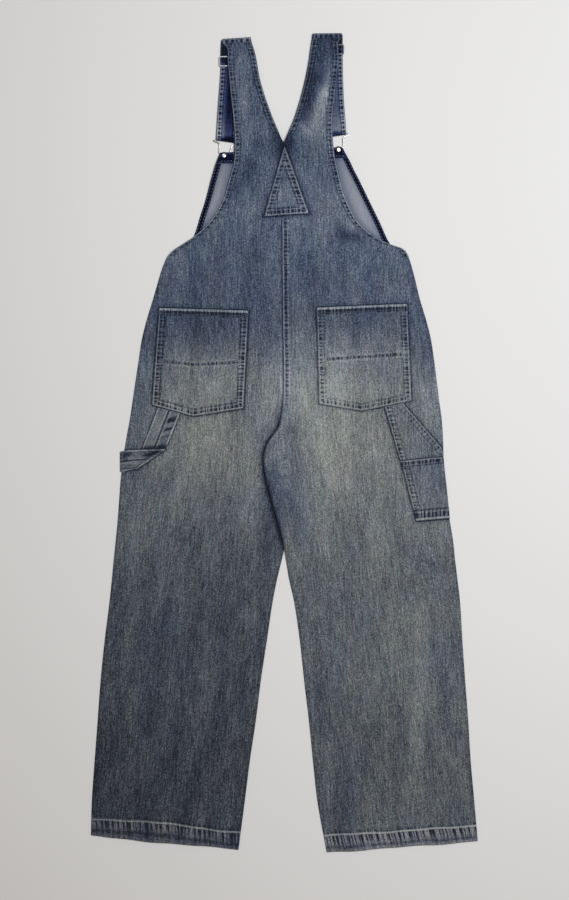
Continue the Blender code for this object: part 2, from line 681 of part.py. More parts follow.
def mesh_of_curve(name, curve):
    """A mesh made once from a curve."""
    helper = bpy.data.objects.new(name + "_curve", curve)
    bpy.context.scene.collection.objects.link(helper)
    bpy.context.view_layer.update()
    graph = bpy.context.evaluated_depsgraph_get()
    mesh = bpy.data.meshes.new_from_object(helper.evaluated_get(graph))
    bpy.data.objects.remove(helper, do_unlink=True)
    mesh.materials.clear()
    return mesh


def rounded_box(width, length, radius):
    """Corner points of a flat rectangle with rounded corners."""
    points = []
    for cx, cy, start in ((1, 1, 0), (-1, 1, 90), (-1, -1, 180), (1, -1, 270)):
        for step in range(4):
            turn = math.radians(start + 30 * step)
            x = cx * (width / 2 - radius) + radius * math.cos(turn)
            y = cy * (length / 2 - radius) + radius * math.sin(turn)
            points.append((x, y))
    return points


def build_slide(name, table, group):
    """The strap slide: a flat plate with two slots."""
    centre, _, lines = table
    x = float(curve_at(lines, centre))
    slot = (SLIDE_LENGTH - 3 * SLIDE_BAR) / 2
    shift = (slot + SLIDE_BAR) / 2
    curve = bpy.data.curves.new(name, "CURVE")
    curve.dimensions = "2D"
    curve.fill_mode = "BOTH"
    outlines = [(rounded_box(SLIDE_WIDTH, SLIDE_LENGTH, 3.0), 0.0)]
    outlines += [(rounded_box(STRAP_WIDTH + 1.0, slot, 0.8), s) for s in (shift, -shift)]
    for points, offset in outlines:
        spline = curve.splines.new("POLY")
        spline.points.add(len(points) - 1)
        for point, (across, along) in zip(spline.points, points):
            point.co = ((x + across) * MM, (centre + along + offset) * MM, 0.0, 1.0)
        spline.use_cyclic_u = True
    curve.extrude = (SLIDE_Z[1] - SLIDE_Z[0]) / 2 * MM
    mesh = mesh_of_curve(name, curve)
    for vertex in mesh.vertices:
        vertex.co.z += (SLIDE_Z[0] + SLIDE_Z[1]) / 2 * MM
    finish_mesh(name, mesh, "metal_silver", group)


def build_turned(name, profile, x, y, steps, group):
    """A round metal piece turned from its profile: radius, height."""
    mesh = bpy.data.meshes.new(name + "_profile")
    verts = [(radius * MM, 0.0, height * MM) for radius, height in profile]
    edges = [(k, k + 1) for k in range(len(verts) - 1)]
    mesh.from_pydata(verts, edges, [])
    helper = bpy.data.objects.new(name + "_profile", mesh)
    bpy.context.scene.collection.objects.link(helper)
    screw = helper.modifiers.new("Turn", "SCREW")
    screw.steps = steps
    screw.render_steps = steps
    screw.use_merge_vertices = True
    screw.merge_threshold = 0.00001
    bpy.context.view_layer.update()
    graph = bpy.context.evaluated_depsgraph_get()
    solid = bpy.data.meshes.new_from_object(helper.evaluated_get(graph))
    bpy.data.objects.remove(helper, do_unlink=True)
    for vertex in solid.vertices:
        vertex.co.x += x * MM
        vertex.co.y += y * MM
    finish_mesh(name, solid, "metal_silver", group, smooth=True)


def build_button(side, buckle, group):
    """A bib button: cap and shank below the bib, and the rivet's head on its wrong side."""
    bar_x, bar_y, tilt = buckle
    turn = math.radians(tilt)
    x = bar_x + BUTTON_DROP * math.sin(turn)
    y = bar_y - BUTTON_DROP * math.cos(turn)
    top = BIB_LIFT - GAP
    cap = [
        (0.0, 0.0), (BUTTON_RADIUS - 1.0, 0.0), (BUTTON_RADIUS, 0.7), (BUTTON_RADIUS, 1.3),
        (BUTTON_RADIUS - 0.8, BUTTON_CAP), (SHANK_RADIUS, BUTTON_CAP), (SHANK_RADIUS, top),
        (0.0, top),
    ]
    build_turned("button_" + side, cap, x, y, 20, group)
    low = BIB_LIFT + 2 * LAYER
    head = [
        (0.0, low), (RIVET_RADIUS, low), (RIVET_RADIUS, low + 0.4),
        (RIVET_RADIUS - 0.8, low + 0.9), (1.6, low + 1.15), (0.0, low + 1.2),
    ]
    build_turned("rivet_" + side, head, x, y, 16, group)


def main():
    """Builds every piece."""
    clear_scene()
    group = make_collection(NAME)
    build_front("front_leg_left", LEFT_OUTER, FRONT_LEFT_INNER, front_left_under, LEFT_HEM, group)
    build_front(
        "front_leg_right", RIGHT_OUTER, FRONT_RIGHT_INNER, front_right_under, RIGHT_HEM, group
    )
    build_bib(group)
    build_facings(group)
    build_back("back_left", LEFT_OUTER, LEFT_INNER, back_left_under, LEFT_HEM, LEFT_TOP, False, group)
    build_back(
        "back_right", RIGHT_OUTER, RIGHT_INNER, back_right_under, RIGHT_HEM, RIGHT_TOP, True, group
    )
    build_patch(group)
    build_pocket("back_pocket_left", POCKET_LEFT, back_left_under, group)
    build_pocket("back_pocket_right", POCKET_RIGHT, back_right_under, group)
    build_tool_pocket(group)
    build_hammer_loop(group)
    build_front_strap("strap_front_left", LEFT_FRONT_STRAP, LEFT_BUCKLE, group)
    build_front_strap("strap_front_right", RIGHT_FRONT_STRAP, RIGHT_BUCKLE, group)
    build_wire("buckle_wire_left", LEFT_BUCKLE, group)
    build_wire("buckle_wire_right", RIGHT_BUCKLE, group)
    build_slide("strap_slide_left", LEFT_FRONT_STRAP, group)
    build_slide("strap_slide_right", RIGHT_FRONT_STRAP, group)
    build_button("left", LEFT_BUCKLE, group)
    build_button("right", RIGHT_BUCKLE, group)


main()
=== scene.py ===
"""Denim suspender trousers laid face down: cloth, seams, stitches and metal on the part's frame.

Tables are in millimetres. Those from the edge curves to the wire buckle repeat the part's own; the
later ones hold wear, shade and colour. A panel is a loft between two edge curves, its height comes
from one function, and what lies on it takes its points from there.
Tones are fade levels from 0, raw indigo, to 1, nearly white; in places painted shade is taken off them.
"""

import json
import math
from collections import namedtuple

import bmesh
import bpy
import numpy as np
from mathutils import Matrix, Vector
from mathutils.bvhtree import BVHTree


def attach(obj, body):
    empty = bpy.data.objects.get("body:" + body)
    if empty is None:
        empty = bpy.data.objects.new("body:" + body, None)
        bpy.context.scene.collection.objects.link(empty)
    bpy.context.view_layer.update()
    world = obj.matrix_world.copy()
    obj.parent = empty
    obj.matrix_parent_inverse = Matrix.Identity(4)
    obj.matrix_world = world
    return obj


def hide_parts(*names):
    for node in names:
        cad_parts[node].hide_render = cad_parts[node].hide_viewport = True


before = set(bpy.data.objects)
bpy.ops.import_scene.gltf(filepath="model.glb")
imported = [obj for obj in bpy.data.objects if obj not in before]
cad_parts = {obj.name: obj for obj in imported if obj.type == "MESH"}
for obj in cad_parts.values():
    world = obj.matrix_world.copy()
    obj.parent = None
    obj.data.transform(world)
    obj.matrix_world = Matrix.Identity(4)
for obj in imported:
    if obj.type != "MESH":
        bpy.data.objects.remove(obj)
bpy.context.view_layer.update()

MM = 0.001
HEM_LINE = 30.5

# Cloth and seams
WALL = 1.2
GAP = 0.3
LAYER = WALL + GAP
TURNED = 0.8
SIDE_BAND = 10.2
TOP_BAND = 8.6
EDGE_ZONE = 14.0
FACING_WIDTH = 9.6
FACING_TOP_WIDTH = 19.0
TOOL_BAND = 13.0

# Values that say a point is far from any sewn band, hem or covering piece
NO_SEAM = (2.0, 0.0, 0.0)
FAR_HEM = 90.0
FAR_COVER = 60.0

# The straps leave the panels at this height of the picture, their undersides this far off the floor
STRAP_FOOT = 548.0
STRAP_BASE = 8.0

# Soft steps along y, low and high: where the armhole, neck and centre seam begin and end,
# where the felled lap begins, and where the side seam and inseam end
ARM_FOOT = (334.0, 342.0)
NECK_FOOT = (556.0, 566.0)
SEAM_FOOT = (40.0, 110.0)
SEAM_TOP = (404.0, 412.0)
LAP_FOOT = (-26.0, -6.0)
SIDE_TOP = (326.0, 336.0)
INSEAM_TOP = (-60.0, -30.0)

# Above this the outer edge of the left strap shows plain sewn lines
PLAIN_STRAP = 640.0

# Distances from an edge between which its turned cloth ends
TURN_END = (10.4, 12.4)

# Distance between two ridges of a twisted hem
ROPE = 9.6

# Points of a sewn line: step along an edge, count across a hem
RUN_STEP = 4.0
HEM_RUN_POINTS = 60

# How far a back panel stands off the front panel at mid width
SWELL = 3.0

# Hardware
STRAP_WIDTH = 38.0
STRAP_WALL = 1.0
WIRE_RADIUS = 1.25
WIRE_Z = 3.45
BUTTON_RADIUS = 8.5
BUTTON_CAP = 1.9
SHANK_RADIUS = 2.5
BUTTON_DROP = 29.0
RIVET_RADIUS = 4.0
SLIDE_WIDTH = 43.0
SLIDE_LENGTH = 19.0
SLIDE_BAR = 2.2
SLIDE_Z = (2.6, 4.2)

# How far the top of the bib is held off the floor by the buttons
BIB_LIFT = 5.0
BIB_RAMP = (430.0, 495.0)

# Edge curves, each row: y, x
LEFT_OUTER = (
    (733, -104.0), (727, -103.0), (715, -102.6), (698, -103.5), (662, -100.6), (625, -97.0),
    (589, -93.0), (552, -90.7), (529, -90.5), (509, -92.5), (491, -97.0), (471, -103.0),
    (444, -111.5), (424, -121.5), (401, -138.0), (386, -152.5), (374, -168.0), (362, -186.0),
    (352, -201.5), (343, -210.5), (332, -216.5), (298, -228.4), (261, -239.3), (225, -250.3),
    (188, -259.4), (152, -264.8), (116, -270.3), (79, -275.7), (43, -281.2), (6, -288.0),
    (-30, -293.5), (-66, -297.6), (-139, -303.0), (-212, -310.3), (-285, -317.6), (-358, -326.7),
    (-430, -334.0), (-503, -339.4), (-576, -344.9), (-649, -350.0), (-713, -351.6),
)
LEFT_INNER = (
    (738, -61.5), (727, -59.0), (715, -55.0), (698, -51.0), (662, -44.5), (625, -33.5),
    (589, -20.5), (570, -12.5), (552, -5.0), (541, 1.5), (530, 7.0), (500, 7.0), (400, 7.0),
    (261, 8.0), (116, 9.0), (80, 8.0), (60, 4.0), (45, -0.5), (38, -2.5), (24, -3.0), (12, -2.0),
    (5, 6.0), (-5, 27.0), (-16, 38.0), (-32, 39.0), (-63, 35.0), (-99, 25.3), (-149, 11.3),
    (-192, 0.0), (-212, -5.0), (-248, -13.7), (-285, -21.0), (-358, -32.0), (-430, -42.8),
    (-503, -52.0), (-576, -62.8), (-649, -72.0), (-738, -83.6),
)
RIGHT_OUTER = (
    (745, 95.0), (738, 94.5), (727, 96.5), (715, 98.0), (698, 98.8), (662, 95.5), (625, 91.0),
    (589, 87.4), (556, 87.4), (535, 89.5), (516, 92.5), (485, 99.6), (454, 107.8), (426, 120.0),
    (402, 134.0), (387, 149.0), (374, 168.0), (363, 190.0), (354, 215.0), (345, 223.0),
    (334, 227.2), (298, 237.5), (261, 246.6), (225, 257.5), (188, 266.6), (152, 272.0),
    (116, 276.6), (79, 281.2), (43, 286.0), (6, 288.4), (-30, 289.5), (-66, 292.5), (-136, 300.0),
    (-176, 306.5), (-212, 310.3), (-285, 319.0), (-358, 323.5), (-430, 328.5), (-503, 334.0),
    (-576, 338.5), (-649, 345.0), (-722, 351.4),
)
RIGHT_INNER = (
    (743, 50.8), (735, 50.0), (727, 48.5), (715, 46.8), (698, 44.5), (662, 37.5), (625, 28.2),
    (589, 17.3), (570, 10.0), (556, 4.0), (545, -1.0), (535, -4.5), (500, -4.8), (400, -4.8),
    (261, -3.8), (116, -2.0), (80, -2.5), (60, -5.0), (45, -7.5), (32, -10.5), (20, -17.5),
    (10, -25.5), (0, -31.5), (-10, -35.5), (-20, -38.0), (-32, -38.5), (-63, -35.0),
    (-99, -25.3), (-149, -11.3), (-192, 0.0), (-212, 3.5), (-248, 9.0), (-285, 17.3),
    (-358, 28.2), (-430, 36.0), (-503, 44.6), (-576, 52.0), (-649, 60.0), (-743, 77.0),
)
BIB_LEFT = (
    (528, -117.0), (520, -120.5), (508, -125.0), (491, -130.0), (474, -135.0), (443, -144.0),
    (412, -154.0), (379, -164.5), (358, -176.0), (326, -204.0),
)
BIB_RIGHT = (
    (538, 105.0), (526, 111.5), (514, 118.0), (495, 127.0), (478, 136.0), (438, 156.0),
    (400, 174.5), (372, 187.0), (358, 195.0), (326, 213.0),
)

# Hidden front panels keep the outer edges; these are their middle edges: y, x
FRONT_LEFT_INNER = (
    (338, 0.0), (60, 0.0), (38, 0.0), (24, 0.0), (14, 2.0), (5, 10.0), (-5, 27.0), (-16, 37.0),
    (-32, 38.0), (-63, 34.0), (-99, 24.5), (-149, 10.8), (-192, -0.5), (-212, -5.5),
    (-248, -13.7), (-285, -21.0), (-358, -32.0), (-430, -42.8), (-503, -52.0), (-576, -62.8),
    (-649, -72.0), (-738, -83.6),
)
FRONT_RIGHT_INNER = (
    (338, 0.5), (60, 0.5), (38, 0.8), (24, 0.8), (14, 0.0), (5, -8.0), (-5, -21.0),
    (-16, -32.0), (-32, -37.5), (-63, -34.0), (-99, -24.5), (-149, -10.8), (-192, 0.5),
    (-212, 3.8), (-248, 9.0), (-285, 17.3), (-358, 28.2), (-430, 36.0), (-503, 44.6),
    (-576, 52.0), (-649, 60.0), (-743, 77.0),
)

# Heights of the back straps' undersides, each row: y, at the outer edge, at the inner edge
LEFT_STRAP_Z = (
    (548, 8.0, 8.0), (575, 8.0, 7.0), (625, 7.8, 4.2), (662, 7.5, 3.8), (699, 7.3, 4.2),
    (716, 5.6, 4.3), (730, 4.5, 4.5),
)
RIGHT_STRAP_Z = (
    (548, 8.0, 8.0), (575, 8.0, 7.0), (625, 7.8, 4.2), (662, 7.5, 3.8), (706, 7.4, 4.6),
    (720, 7.4, 4.6), (731, 5.6, 4.5), (740, 4.5, 4.5),
)

LEFT_HEM = (-713.0, -738.0)
RIGHT_HEM = (-722.5, -743.5)

# Shoulder ends of the back straps: y at the outer edge, y at the inner edge
LEFT_TOP = (733.0, 736.5)
RIGHT_TOP = (743.5, 743.0)
FOLD_Z = 3.6
FOLD_RADIUS = 1.5
FOLD_BACK = 7.0
TOP_FLARE = 9.5

# Back pockets: corners in order top left, top right, bottom right, tip, bottom left
POCKET_LEFT = ((-228.2, 246.5), (-64.8, 241.5), (-74.1, 63.5), (-166.0, 49.1), (-241.3, 69.8))
POCKET_RIGHT = ((57.9, 247.0), (223.3, 254.0), (231.0, 77.7), (140.5, 58.8), (62.6, 71.9))
POCKET_HEM = 12.5

# Tool pocket, each row: left x, left y, right x, right y
TOOL_UPPER = (
    (181.5, 66.3, 215.7, 73.3), (187.0, 47.0, 238.0, 48.0), (194.5, 20.0, 262.0, 20.5),
    (202.5, -8.0, 286.0, -7.0), (209.3, -30.2, 288.6, -22.6),
)
TOOL_LOWER = (
    (210.2, -31.0, 288.9, -23.4), (213.4, -42.5, 290.0, -34.9), (213.7, -43.5, 290.1, -35.9),
    (220.5, -70.0, 293.0, -64.0), (227.5, -98.0, 296.2, -92.0), (233.8, -121.0, 298.5, -115.5),
    (234.1, -122.0, 298.6, -116.5), (239.1, -141.6, 300.6, -136.4),
)

# Hammer loop strip, each row: edge A x, y, edge B x, y, extra height
LOOP_UNDER = (
    (-229.5, 65.0, -189.5, 54.6, 0.0), (-238.0, 43.0, -197.0, 36.0, 0.0),
    (-247.5, 18.0, -205.5, 14.0, 0.0), (-258.0, -8.0, -212.5, -2.0, 0.0),
    (-270.0, -46.0, -217.5, -10.5, 0.0),
)
LOOP_OVER = (
    (-270.0, -46.0, -217.5, -10.5, 1.5), (-277.0, -47.5, -240.0, -11.0, 1.5),
    (-284.0, -49.0, -265.0, -11.6, 1.5), (-291.0, -50.5, -288.0, -12.6, 1.0),
)
LOOP_END = ((-296.5, -51.6, -296.5, -14.0, 3.6), (-298.4, -52.0, -298.6, -14.8, 2.2),
            (-298.2, -51.8, -298.4, -14.6, 0.7))

# Triangle patch: apex, bottom left, bottom right
PATCH = ((0.0, 541.5), (-38.0, 411.5), (45.0, 417.3))

# Front straps: slide centre y, top end y, then rows y, centre x; the buckle's centre and tilt
LEFT_FRONT_STRAP = (694.5, 732.6, ((733, -96.0), (706, -97.5), (684, -97.5), (625, -101.0),
                                   (553, -105.0), (540, -105.7)))
RIGHT_FRONT_STRAP = (716.0, 743.0, ((745, 86.5), (728, 86.8), (704, 86.8), (625, 88.8), (563, 93.5),
                                    (550, 94.0)))
LEFT_BUCKLE = (-105.7, 551.0, -8.0)
RIGHT_BUCKLE = (94.0, 561.5, 8.0)

# Path of a front strap through its slide: y from the slide's centre, height of its middle
SLIDE_PATH = (
    (14.0, 2.4), (9.5, 1.8), (6.8, 1.8), (5.4, 2.3), (4.5, 3.5), (3.8, 5.0), (2.8, 6.1),
    (1.3, 6.4), (-1.3, 6.4), (-2.8, 6.1), (-3.8, 5.0), (-4.5, 3.5), (-5.4, 2.3), (-6.8, 1.8),
    (-9.5, 1.8),
)
LOOP_PATH = (
    (-9.5, 0.5), (-6.5, 0.5), (-4.4, 0.8), (-2.9, 1.4), (-1.2, 1.7), (0.9, 1.7), (2.1, 2.3),
    (2.5, 3.4), (2.1, 4.5), (0.9, 5.1), (-1.0, 5.1),
)

# Wire buckle outline, right half, from the head bar's middle: across, along
WIRE_HALF = (
    (0.0, 0.0), (10.0, 0.0), (18.0, 0.0), (21.3, -0.6), (22.6, -2.4), (21.2, -4.2),
    (17.0, -5.4), (13.2, -7.0), (11.4, -9.4), (10.8, -13.0), (10.2, -20.0), (8.8, -25.0),
    (6.0, -28.4), (4.2, -31.4), (2.6, -33.6), (0.0, -34.4),
)

# Wear on the back pockets, each row: x, y, radius across, radius along, change of tone
LEFT_SPOTS = ((-140, 215, 70, 34, -0.12), (-110, 120, 40, 50, 0.08), (-190, 110, 30, 40, -0.06))
RIGHT_SPOTS = ((88, 168, 30, 24, 0.08), (166, 126, 14, 12, -0.08), (140, 220, 70, 34, -0.10),
               (88, 105, 30, 60, 0.12), (200, 120, 30, 50, -0.02))

# Shade on the hammer loop and the triangle patch, each row as above
LOOP_SPOTS = ((-292.0, -24.0, 12.0, 12.0, -0.30), (-248.0, -20.0, 12.0, 7.0, -0.26),
              (-285.0, -44.0, 22.0, 5.0, -0.24))
PATCH_SPOTS = ((-2.0, 480.0, 14.0, 16.0, -0.14),)

# Fade of the back panels down each side, each row: y, left tone, right tone
FADE = (
    (745, 0.40, 0.28), (690, 0.42, 0.30), (640, 0.45, 0.37), (600, 0.47, 0.45), (565, 0.49, 0.52),
    (530, 0.46, 0.51), (500, 0.47, 0.49), (450, 0.51, 0.54), (400, 0.49, 0.53), (350, 0.42, 0.47),
    (300, 0.38, 0.43), (260, 0.38, 0.44), (220, 0.39, 0.47), (180, 0.45, 0.53),
    (140, 0.54, 0.60), (100, 0.59, 0.67), (60, 0.59, 0.66), (20, 0.60, 0.64), (-20, 0.59, 0.62),
    (-60, 0.55, 0.60), (-120, 0.50, 0.58), (-180, 0.42, 0.53), (-250, 0.34, 0.49),
    (-330, 0.30, 0.49), (-420, 0.27, 0.47), (-500, 0.25, 0.44), (-580, 0.21, 0.42),
    (-660, 0.20, 0.43), (-745, 0.20, 0.44),
)

# Share of blue in the cloth down its length, each row: y, blue
BLUE = ((745, 1.0), (500, 0.95), (300, 0.9), (200, 0.65), (120, 0.28), (40, 0.10), (-60, 0.10),
        (-200, 0.12), (-400, 0.12), (-700, 0.10), (-716, 0.24), (-745, 0.24))

# Soft patches of wear and shade, each row: x, y, radius across, radius along, change of tone
PATCHES = (
    (0, 545, 28, 26, -0.42), (-20, 590, 18, 40, -0.10), (40, 660, 14, 60, -0.14),
    (70, 690, 14, 50, 0.16), (86, 600, 18, 40, 0.10), (-70, 475, 16, 44, -0.20), (60, 520, 40, 20, -0.06),
    (-80, 660, 20, 60, 0.08), (0, 120, 40, 70, 0.12), (60, 60, 60, 60, 0.10),
    (-150, 10, 50, 60, 0.08), (90, -40, 90, 60, 0.10), (-18, -40, 16, 50, -0.10),
    (20, -30, 14, 60, -0.14), (-40, -120, 16, 90, -0.10), (-250, 180, 30, 80, -0.03),
    (255, 170, 25, 80, -0.08), (-270, 30, 24, 80, -0.10), (270, 0, 24, 90, -0.06),
    (250, -450, 24, 160, 0.08), (60, -300, 24, 120, -0.06), (112, 376, 20, 10, -0.20),
    (60, 0, 70, 24, 0.04), (-220, -250, 60, 60, 0.05), (-120, -420, 60, 90, 0.04),
    (208, -240, 22, 160, 0.05), (236, -480, 18, 150, 0.06), (105, -655, 40, 60, -0.06),
)

# Streaks of wear and shade, each row: x0, y0, x1, y1, width, change of tone
STREAKS = (
    (90, 690, 73, 634, 8, 0.24), (73, 634, 46, 568, 11, 0.24), (72, 735, 62, 668, 13, -0.20),
    (58, 660, 36, 596, 10, -0.18), (-4, 560, -30, 610, 8, -0.10), (6, 556, 24, 600, 8, -0.08),
    (-60, 500, -90, 460, 16, -0.10), (100, 385, 135, 372, 9, -0.12), (-30, -50, -6, -170, 7, -0.16),
    (14, 25, 60, 12, 8, -0.08), (-24, -8, 10, 30, 7, -0.10), (-10, -60, 30, -180, 14, -0.10),
)

# Bluer and greyer places, each row: x, y, radius across, radius along, change of blue
BLUE_PATCHES = (
    (-285, 60, 40, 160, 0.6), (285, 60, 36, 160, 0.5), (0, -60, 50, 110, 0.6), (0, 130, 30, 90, 0.3),
    (-120, 0, 70, 80, -0.15), (110, 0, 90, 90, -0.15), (-250, -400, 50, 200, 0.10),
    (-80, -500, 40, 200, 0.08),
    (110, -640, 46, 80, 0.30), (60, -450, 40, 200, 0.12), (300, -400, 40, 200, 0.12),
    (200, -300, 60, 100, -0.2), (-150, 20, 60, 44, -0.2), (120, 0, 90, 60, -0.2),
    (-210, -480, 60, 160, 0.15),
)

# Soft creases, each row: x0, y0, x1, y1, width, height
CREASES = (
    (-60, 30, -190, -60, 16, 1.2), (-50, 10, -120, -90, 12, -0.8), (-70, -40, -150, -150, 18, 1.0),
    (60, 30, 170, -40, 16, 1.0), (60, -40, 150, -130, 16, 0.9), (70, 10, 110, -60, 11, -0.7),
    (-120, -200, -210, -250, 20, 0.8), (-170, -330, -230, -380, 22, 0.9),
    (-130, -470, -200, -455, 18, -0.7), (-200, -560, -290, -590, 24, 0.9),
    (100, -250, 180, -290, 20, 0.8), (150, -380, 230, -420, 22, 0.9), (120, -500, 190, -480, 18, -0.7),
    (200, -590, 290, -560, 22, 0.9), (-110, 300, -60, 345, 14, 0.8), (70, 350, 130, 300, 14, 0.9),
    (-190, 300, -130, 335, 16, 0.7), (100, 380, 150, 340, 11, 0.9), (-40, 200, -30, 90, 12, -0.5),
    (30, 190, 36, 70, 12, -0.5), (-150, 40, -150, -10, 20, 0.6), (140, 50, 150, 0, 18, 0.6),
)


def ease(value, low, high):
    """0 below low, 1 above high and a smooth step between them."""
    part = np.clip((np.asarray(value, float) - low) / (high - low), 0.0, 1.0)
    return part * part * (3.0 - 2.0 * part)


def bump(value, centre, half):
    """1 at the centre and 0 at half a width from it, both sides."""
    part = np.clip(1.0 - np.abs(np.asarray(value, float) - centre) / half, 0.0, 1.0)
    return part * part * (3.0 - 2.0 * part)


def band(value, low, high, soft):
    """1 between low and high, with soft ends outside them."""
    return ease(value, low - soft, low) * (1.0 - ease(value, high, high + soft))


def curve_at(rows, y, column=1):
    """A smooth curve through the rows of a table, read at y."""
    data = sorted((row[0], row[column]) for row in rows)
    ys = np.array([row[0] for row in data], float)
    xs = np.array([row[1] for row in data], float)
    steps = np.diff(xs) / np.diff(ys)
    slopes = np.concatenate([[steps[0]], 0.5 * (steps[:-1] + steps[1:]), [steps[-1]]])
    y = np.clip(np.asarray(y, float), ys[0], ys[-1])
    index = np.clip(np.searchsorted(ys, y, side="right") - 1, 0, len(ys) - 2)
    width = ys[index + 1] - ys[index]
    t = (y - ys[index]) / width
    a = (1 + 2 * t) * (1 - t) ** 2 * xs[index]
    b = t * (1 - t) ** 2 * width * slopes[index]
    c = t * t * (3 - 2 * t) * xs[index + 1]
    d = t * t * (t - 1) * width * slopes[index + 1]
    return a + b + c + d


def ripple(along, period, key):
    """An uneven wave from -1 to 1 along a seam; key gives each seam its own run."""
    s = np.asarray(along, float)
    drift = 1.1 * np.sin(s / 23.0 + key) + 0.9 * np.sin(s / 9.1 + 2.3 * key)
    size = 0.72 + 0.28 * np.sin(s / 17.0 + 1.7 * key)
    return np.sin(2 * math.pi * s / period + drift) * size


def pillow(part):
    """A flat-topped swell across a panel."""
    return 1.0 - (2.0 * np.clip(part, 0.0, 1.0) - 1.0) ** 4


def back_base(y):
    """Underside of both back panels at their side seams."""
    return 1.5 + 1.5 * ease(y, 285, 316) + BIB_LIFT * ease(y, *BIB_RAMP)


def bib_under(x, y):
    """Underside of the bib: on the floor, over the waist seam, and lifted by the buttons."""
    return 1.5 * (1.0 - ease(y, 340, 358)) + BIB_LIFT * ease(y, *BIB_RAMP) + 0.0 * x


def swell_at(y):
    """How far a back panel stands off the front panel at mid width."""
    return SWELL * (1.0 - ease(y, 330, 470))


def front_left_under(x, y):
    """The left front panel lies flat on the floor."""
    return 0.0 * x + 0.0 * y


def crotch_window(y):
    """1 where the right leg is folded over the left one."""
    return (1.0 - ease(y, 16, 42)) * ease(y, -255, -196)


def front_right_under(x, y):
    """The right front panel rises over both left panels at the crotch."""
    return 2 * LAYER * crotch_window(y) * (1.0 - ease(x, 50, 95))


def creases(x, y):
    """Height of the soft creases."""
    total = np.zeros(np.broadcast(x, y).shape)
    for x0, y0, x1, y1, width, height in CREASES:
        dx = x1 - x0
        dy = y1 - y0
        length = dx * dx + dy * dy
        t = np.clip(((x - x0) * dx + (y - y0) * dy) / length, 0.0, 1.0)
        bend = 0.12 * width * np.sin(7.0 * t + x0)
        across = np.hypot(x - x0 - t * dx + bend, y - y0 - t * dy)
        swell = height * np.exp(-(across / (0.55 * width)) ** 2)
        total = total + swell * (0.45 + 0.55 * np.sin(math.pi * t))
    return total


def back_left_under(x, y):
    """Underside of the left back panel."""
    outer = curve_at(LEFT_OUTER, y)
    inner = curve_at(LEFT_INNER, y)
    part = (x - outer) / (inner - outer - EDGE_ZONE)
    low = 1.0 - ease(x, -80, -46) * ease(y, -260, -200) * (1.0 - ease(y, 25, 60))
    open_part = pillow(part) * low * (1.0 - ease(y, 380, 470))
    under = back_base(y) + swell_at(y) * pillow(part) * low
    under = under + 1.1 * ease(y, 10, 60) * ease(x, -60, -12) * (1.0 - ease(y, 548, 590))
    under = under + creases(x, y) * open_part
    strap = ease((x - outer) / (inner - outer), 0.55, 1.0)
    z_out = curve_at(LEFT_STRAP_Z, y, 1)
    z_in = curve_at(LEFT_STRAP_Z, y, 2)
    lifted = under - STRAP_BASE + z_out + (z_in - z_out) * strap
    return np.where(np.asarray(y) > STRAP_FOOT, lifted, under)


def back_right_under(x, y):
    """Underside of the right back panel, which is felled over the left one at the centre."""
    outer = curve_at(RIGHT_OUTER, y)
    inner = curve_at(RIGHT_INNER, y)
    part = (outer - x) / (outer - inner - EDGE_ZONE)
    open_part = pillow(part) * (1.0 - ease(y, 380, 470))
    under = back_base(y) + swell_at(y) * pillow(part) + front_right_under(x, y)
    rise = 2.6 * ease(y, 10, 38) * (1.0 - ease(x, 10, 60)) * (1.0 - ease(y, 556, 600))
    strap = ease((outer - x) / (outer - inner), 0.55, 1.0)
    z_out = curve_at(RIGHT_STRAP_Z, y, 1)
    z_in = curve_at(RIGHT_STRAP_Z, y, 2)
    under = under + rise + creases(x, y) * open_part
    lifted = under - STRAP_BASE + z_out + (z_in - z_out) * strap
    return np.where(np.asarray(y) > STRAP_FOOT, lifted, under)


def back_top(x, y):
    """Top of the back where both panels and their seam are covered by the patch."""
    left = back_left_under(x, y)
    right = back_right_under(x, y)
    return left + (right - left) * ease(x, -28, -11) + WALL


def add_spots(value, x, y, rows):
    """A value changed by soft spots, each row: x, y, radius across, radius along, change."""
    for cx, cy, rx, ry, change in rows:
        value = value + change * np.exp(-((x - cx) / rx) ** 2 - ((y - cy) / ry) ** 2)
    return value


def fade_and_shade_at(x, y):
    """Tone of the washed cloth at a place on the back: its fade and wear, and the painted shade in some
    patches and streaks.
    """
    left = curve_at(FADE, y, 1)
    right = curve_at(FADE, y, 2)
    tone = add_spots(left + (right - left) * ease(x, -30, 40), x, y, PATCHES)
    for x0, y0, x1, y1, width, change in STREAKS:
        gap, _ = line_distance(((x0, y0), (x1, y1)), x, y)
        tone = tone + change * np.exp(-((gap / width) ** 2))
    return tone


def blue_at(x, y):
    """Share of blue at a place on the back."""
    return add_spots(curve_at(BLUE, y) + 0.0 * x, x, y, BLUE_PATCHES)


def grain_of(x, y, key):
    """Position along the cloth's own warp, which follows each leg."""
    lean = 0.1 * np.clip(-np.asarray(y, float), 0.0, None)
    across = np.where(np.asarray(x) < 0, x + lean, x - lean)
    return np.stack([across, y, np.full(np.shape(x), 50.0 * key)], axis=-1)


def edge_wall(distance):
    """Share of the wall left at a distance from a cut or folded edge."""
    return np.interp(distance, [0.0, 0.6, 1.8], [0.42, 0.78, 1.0])


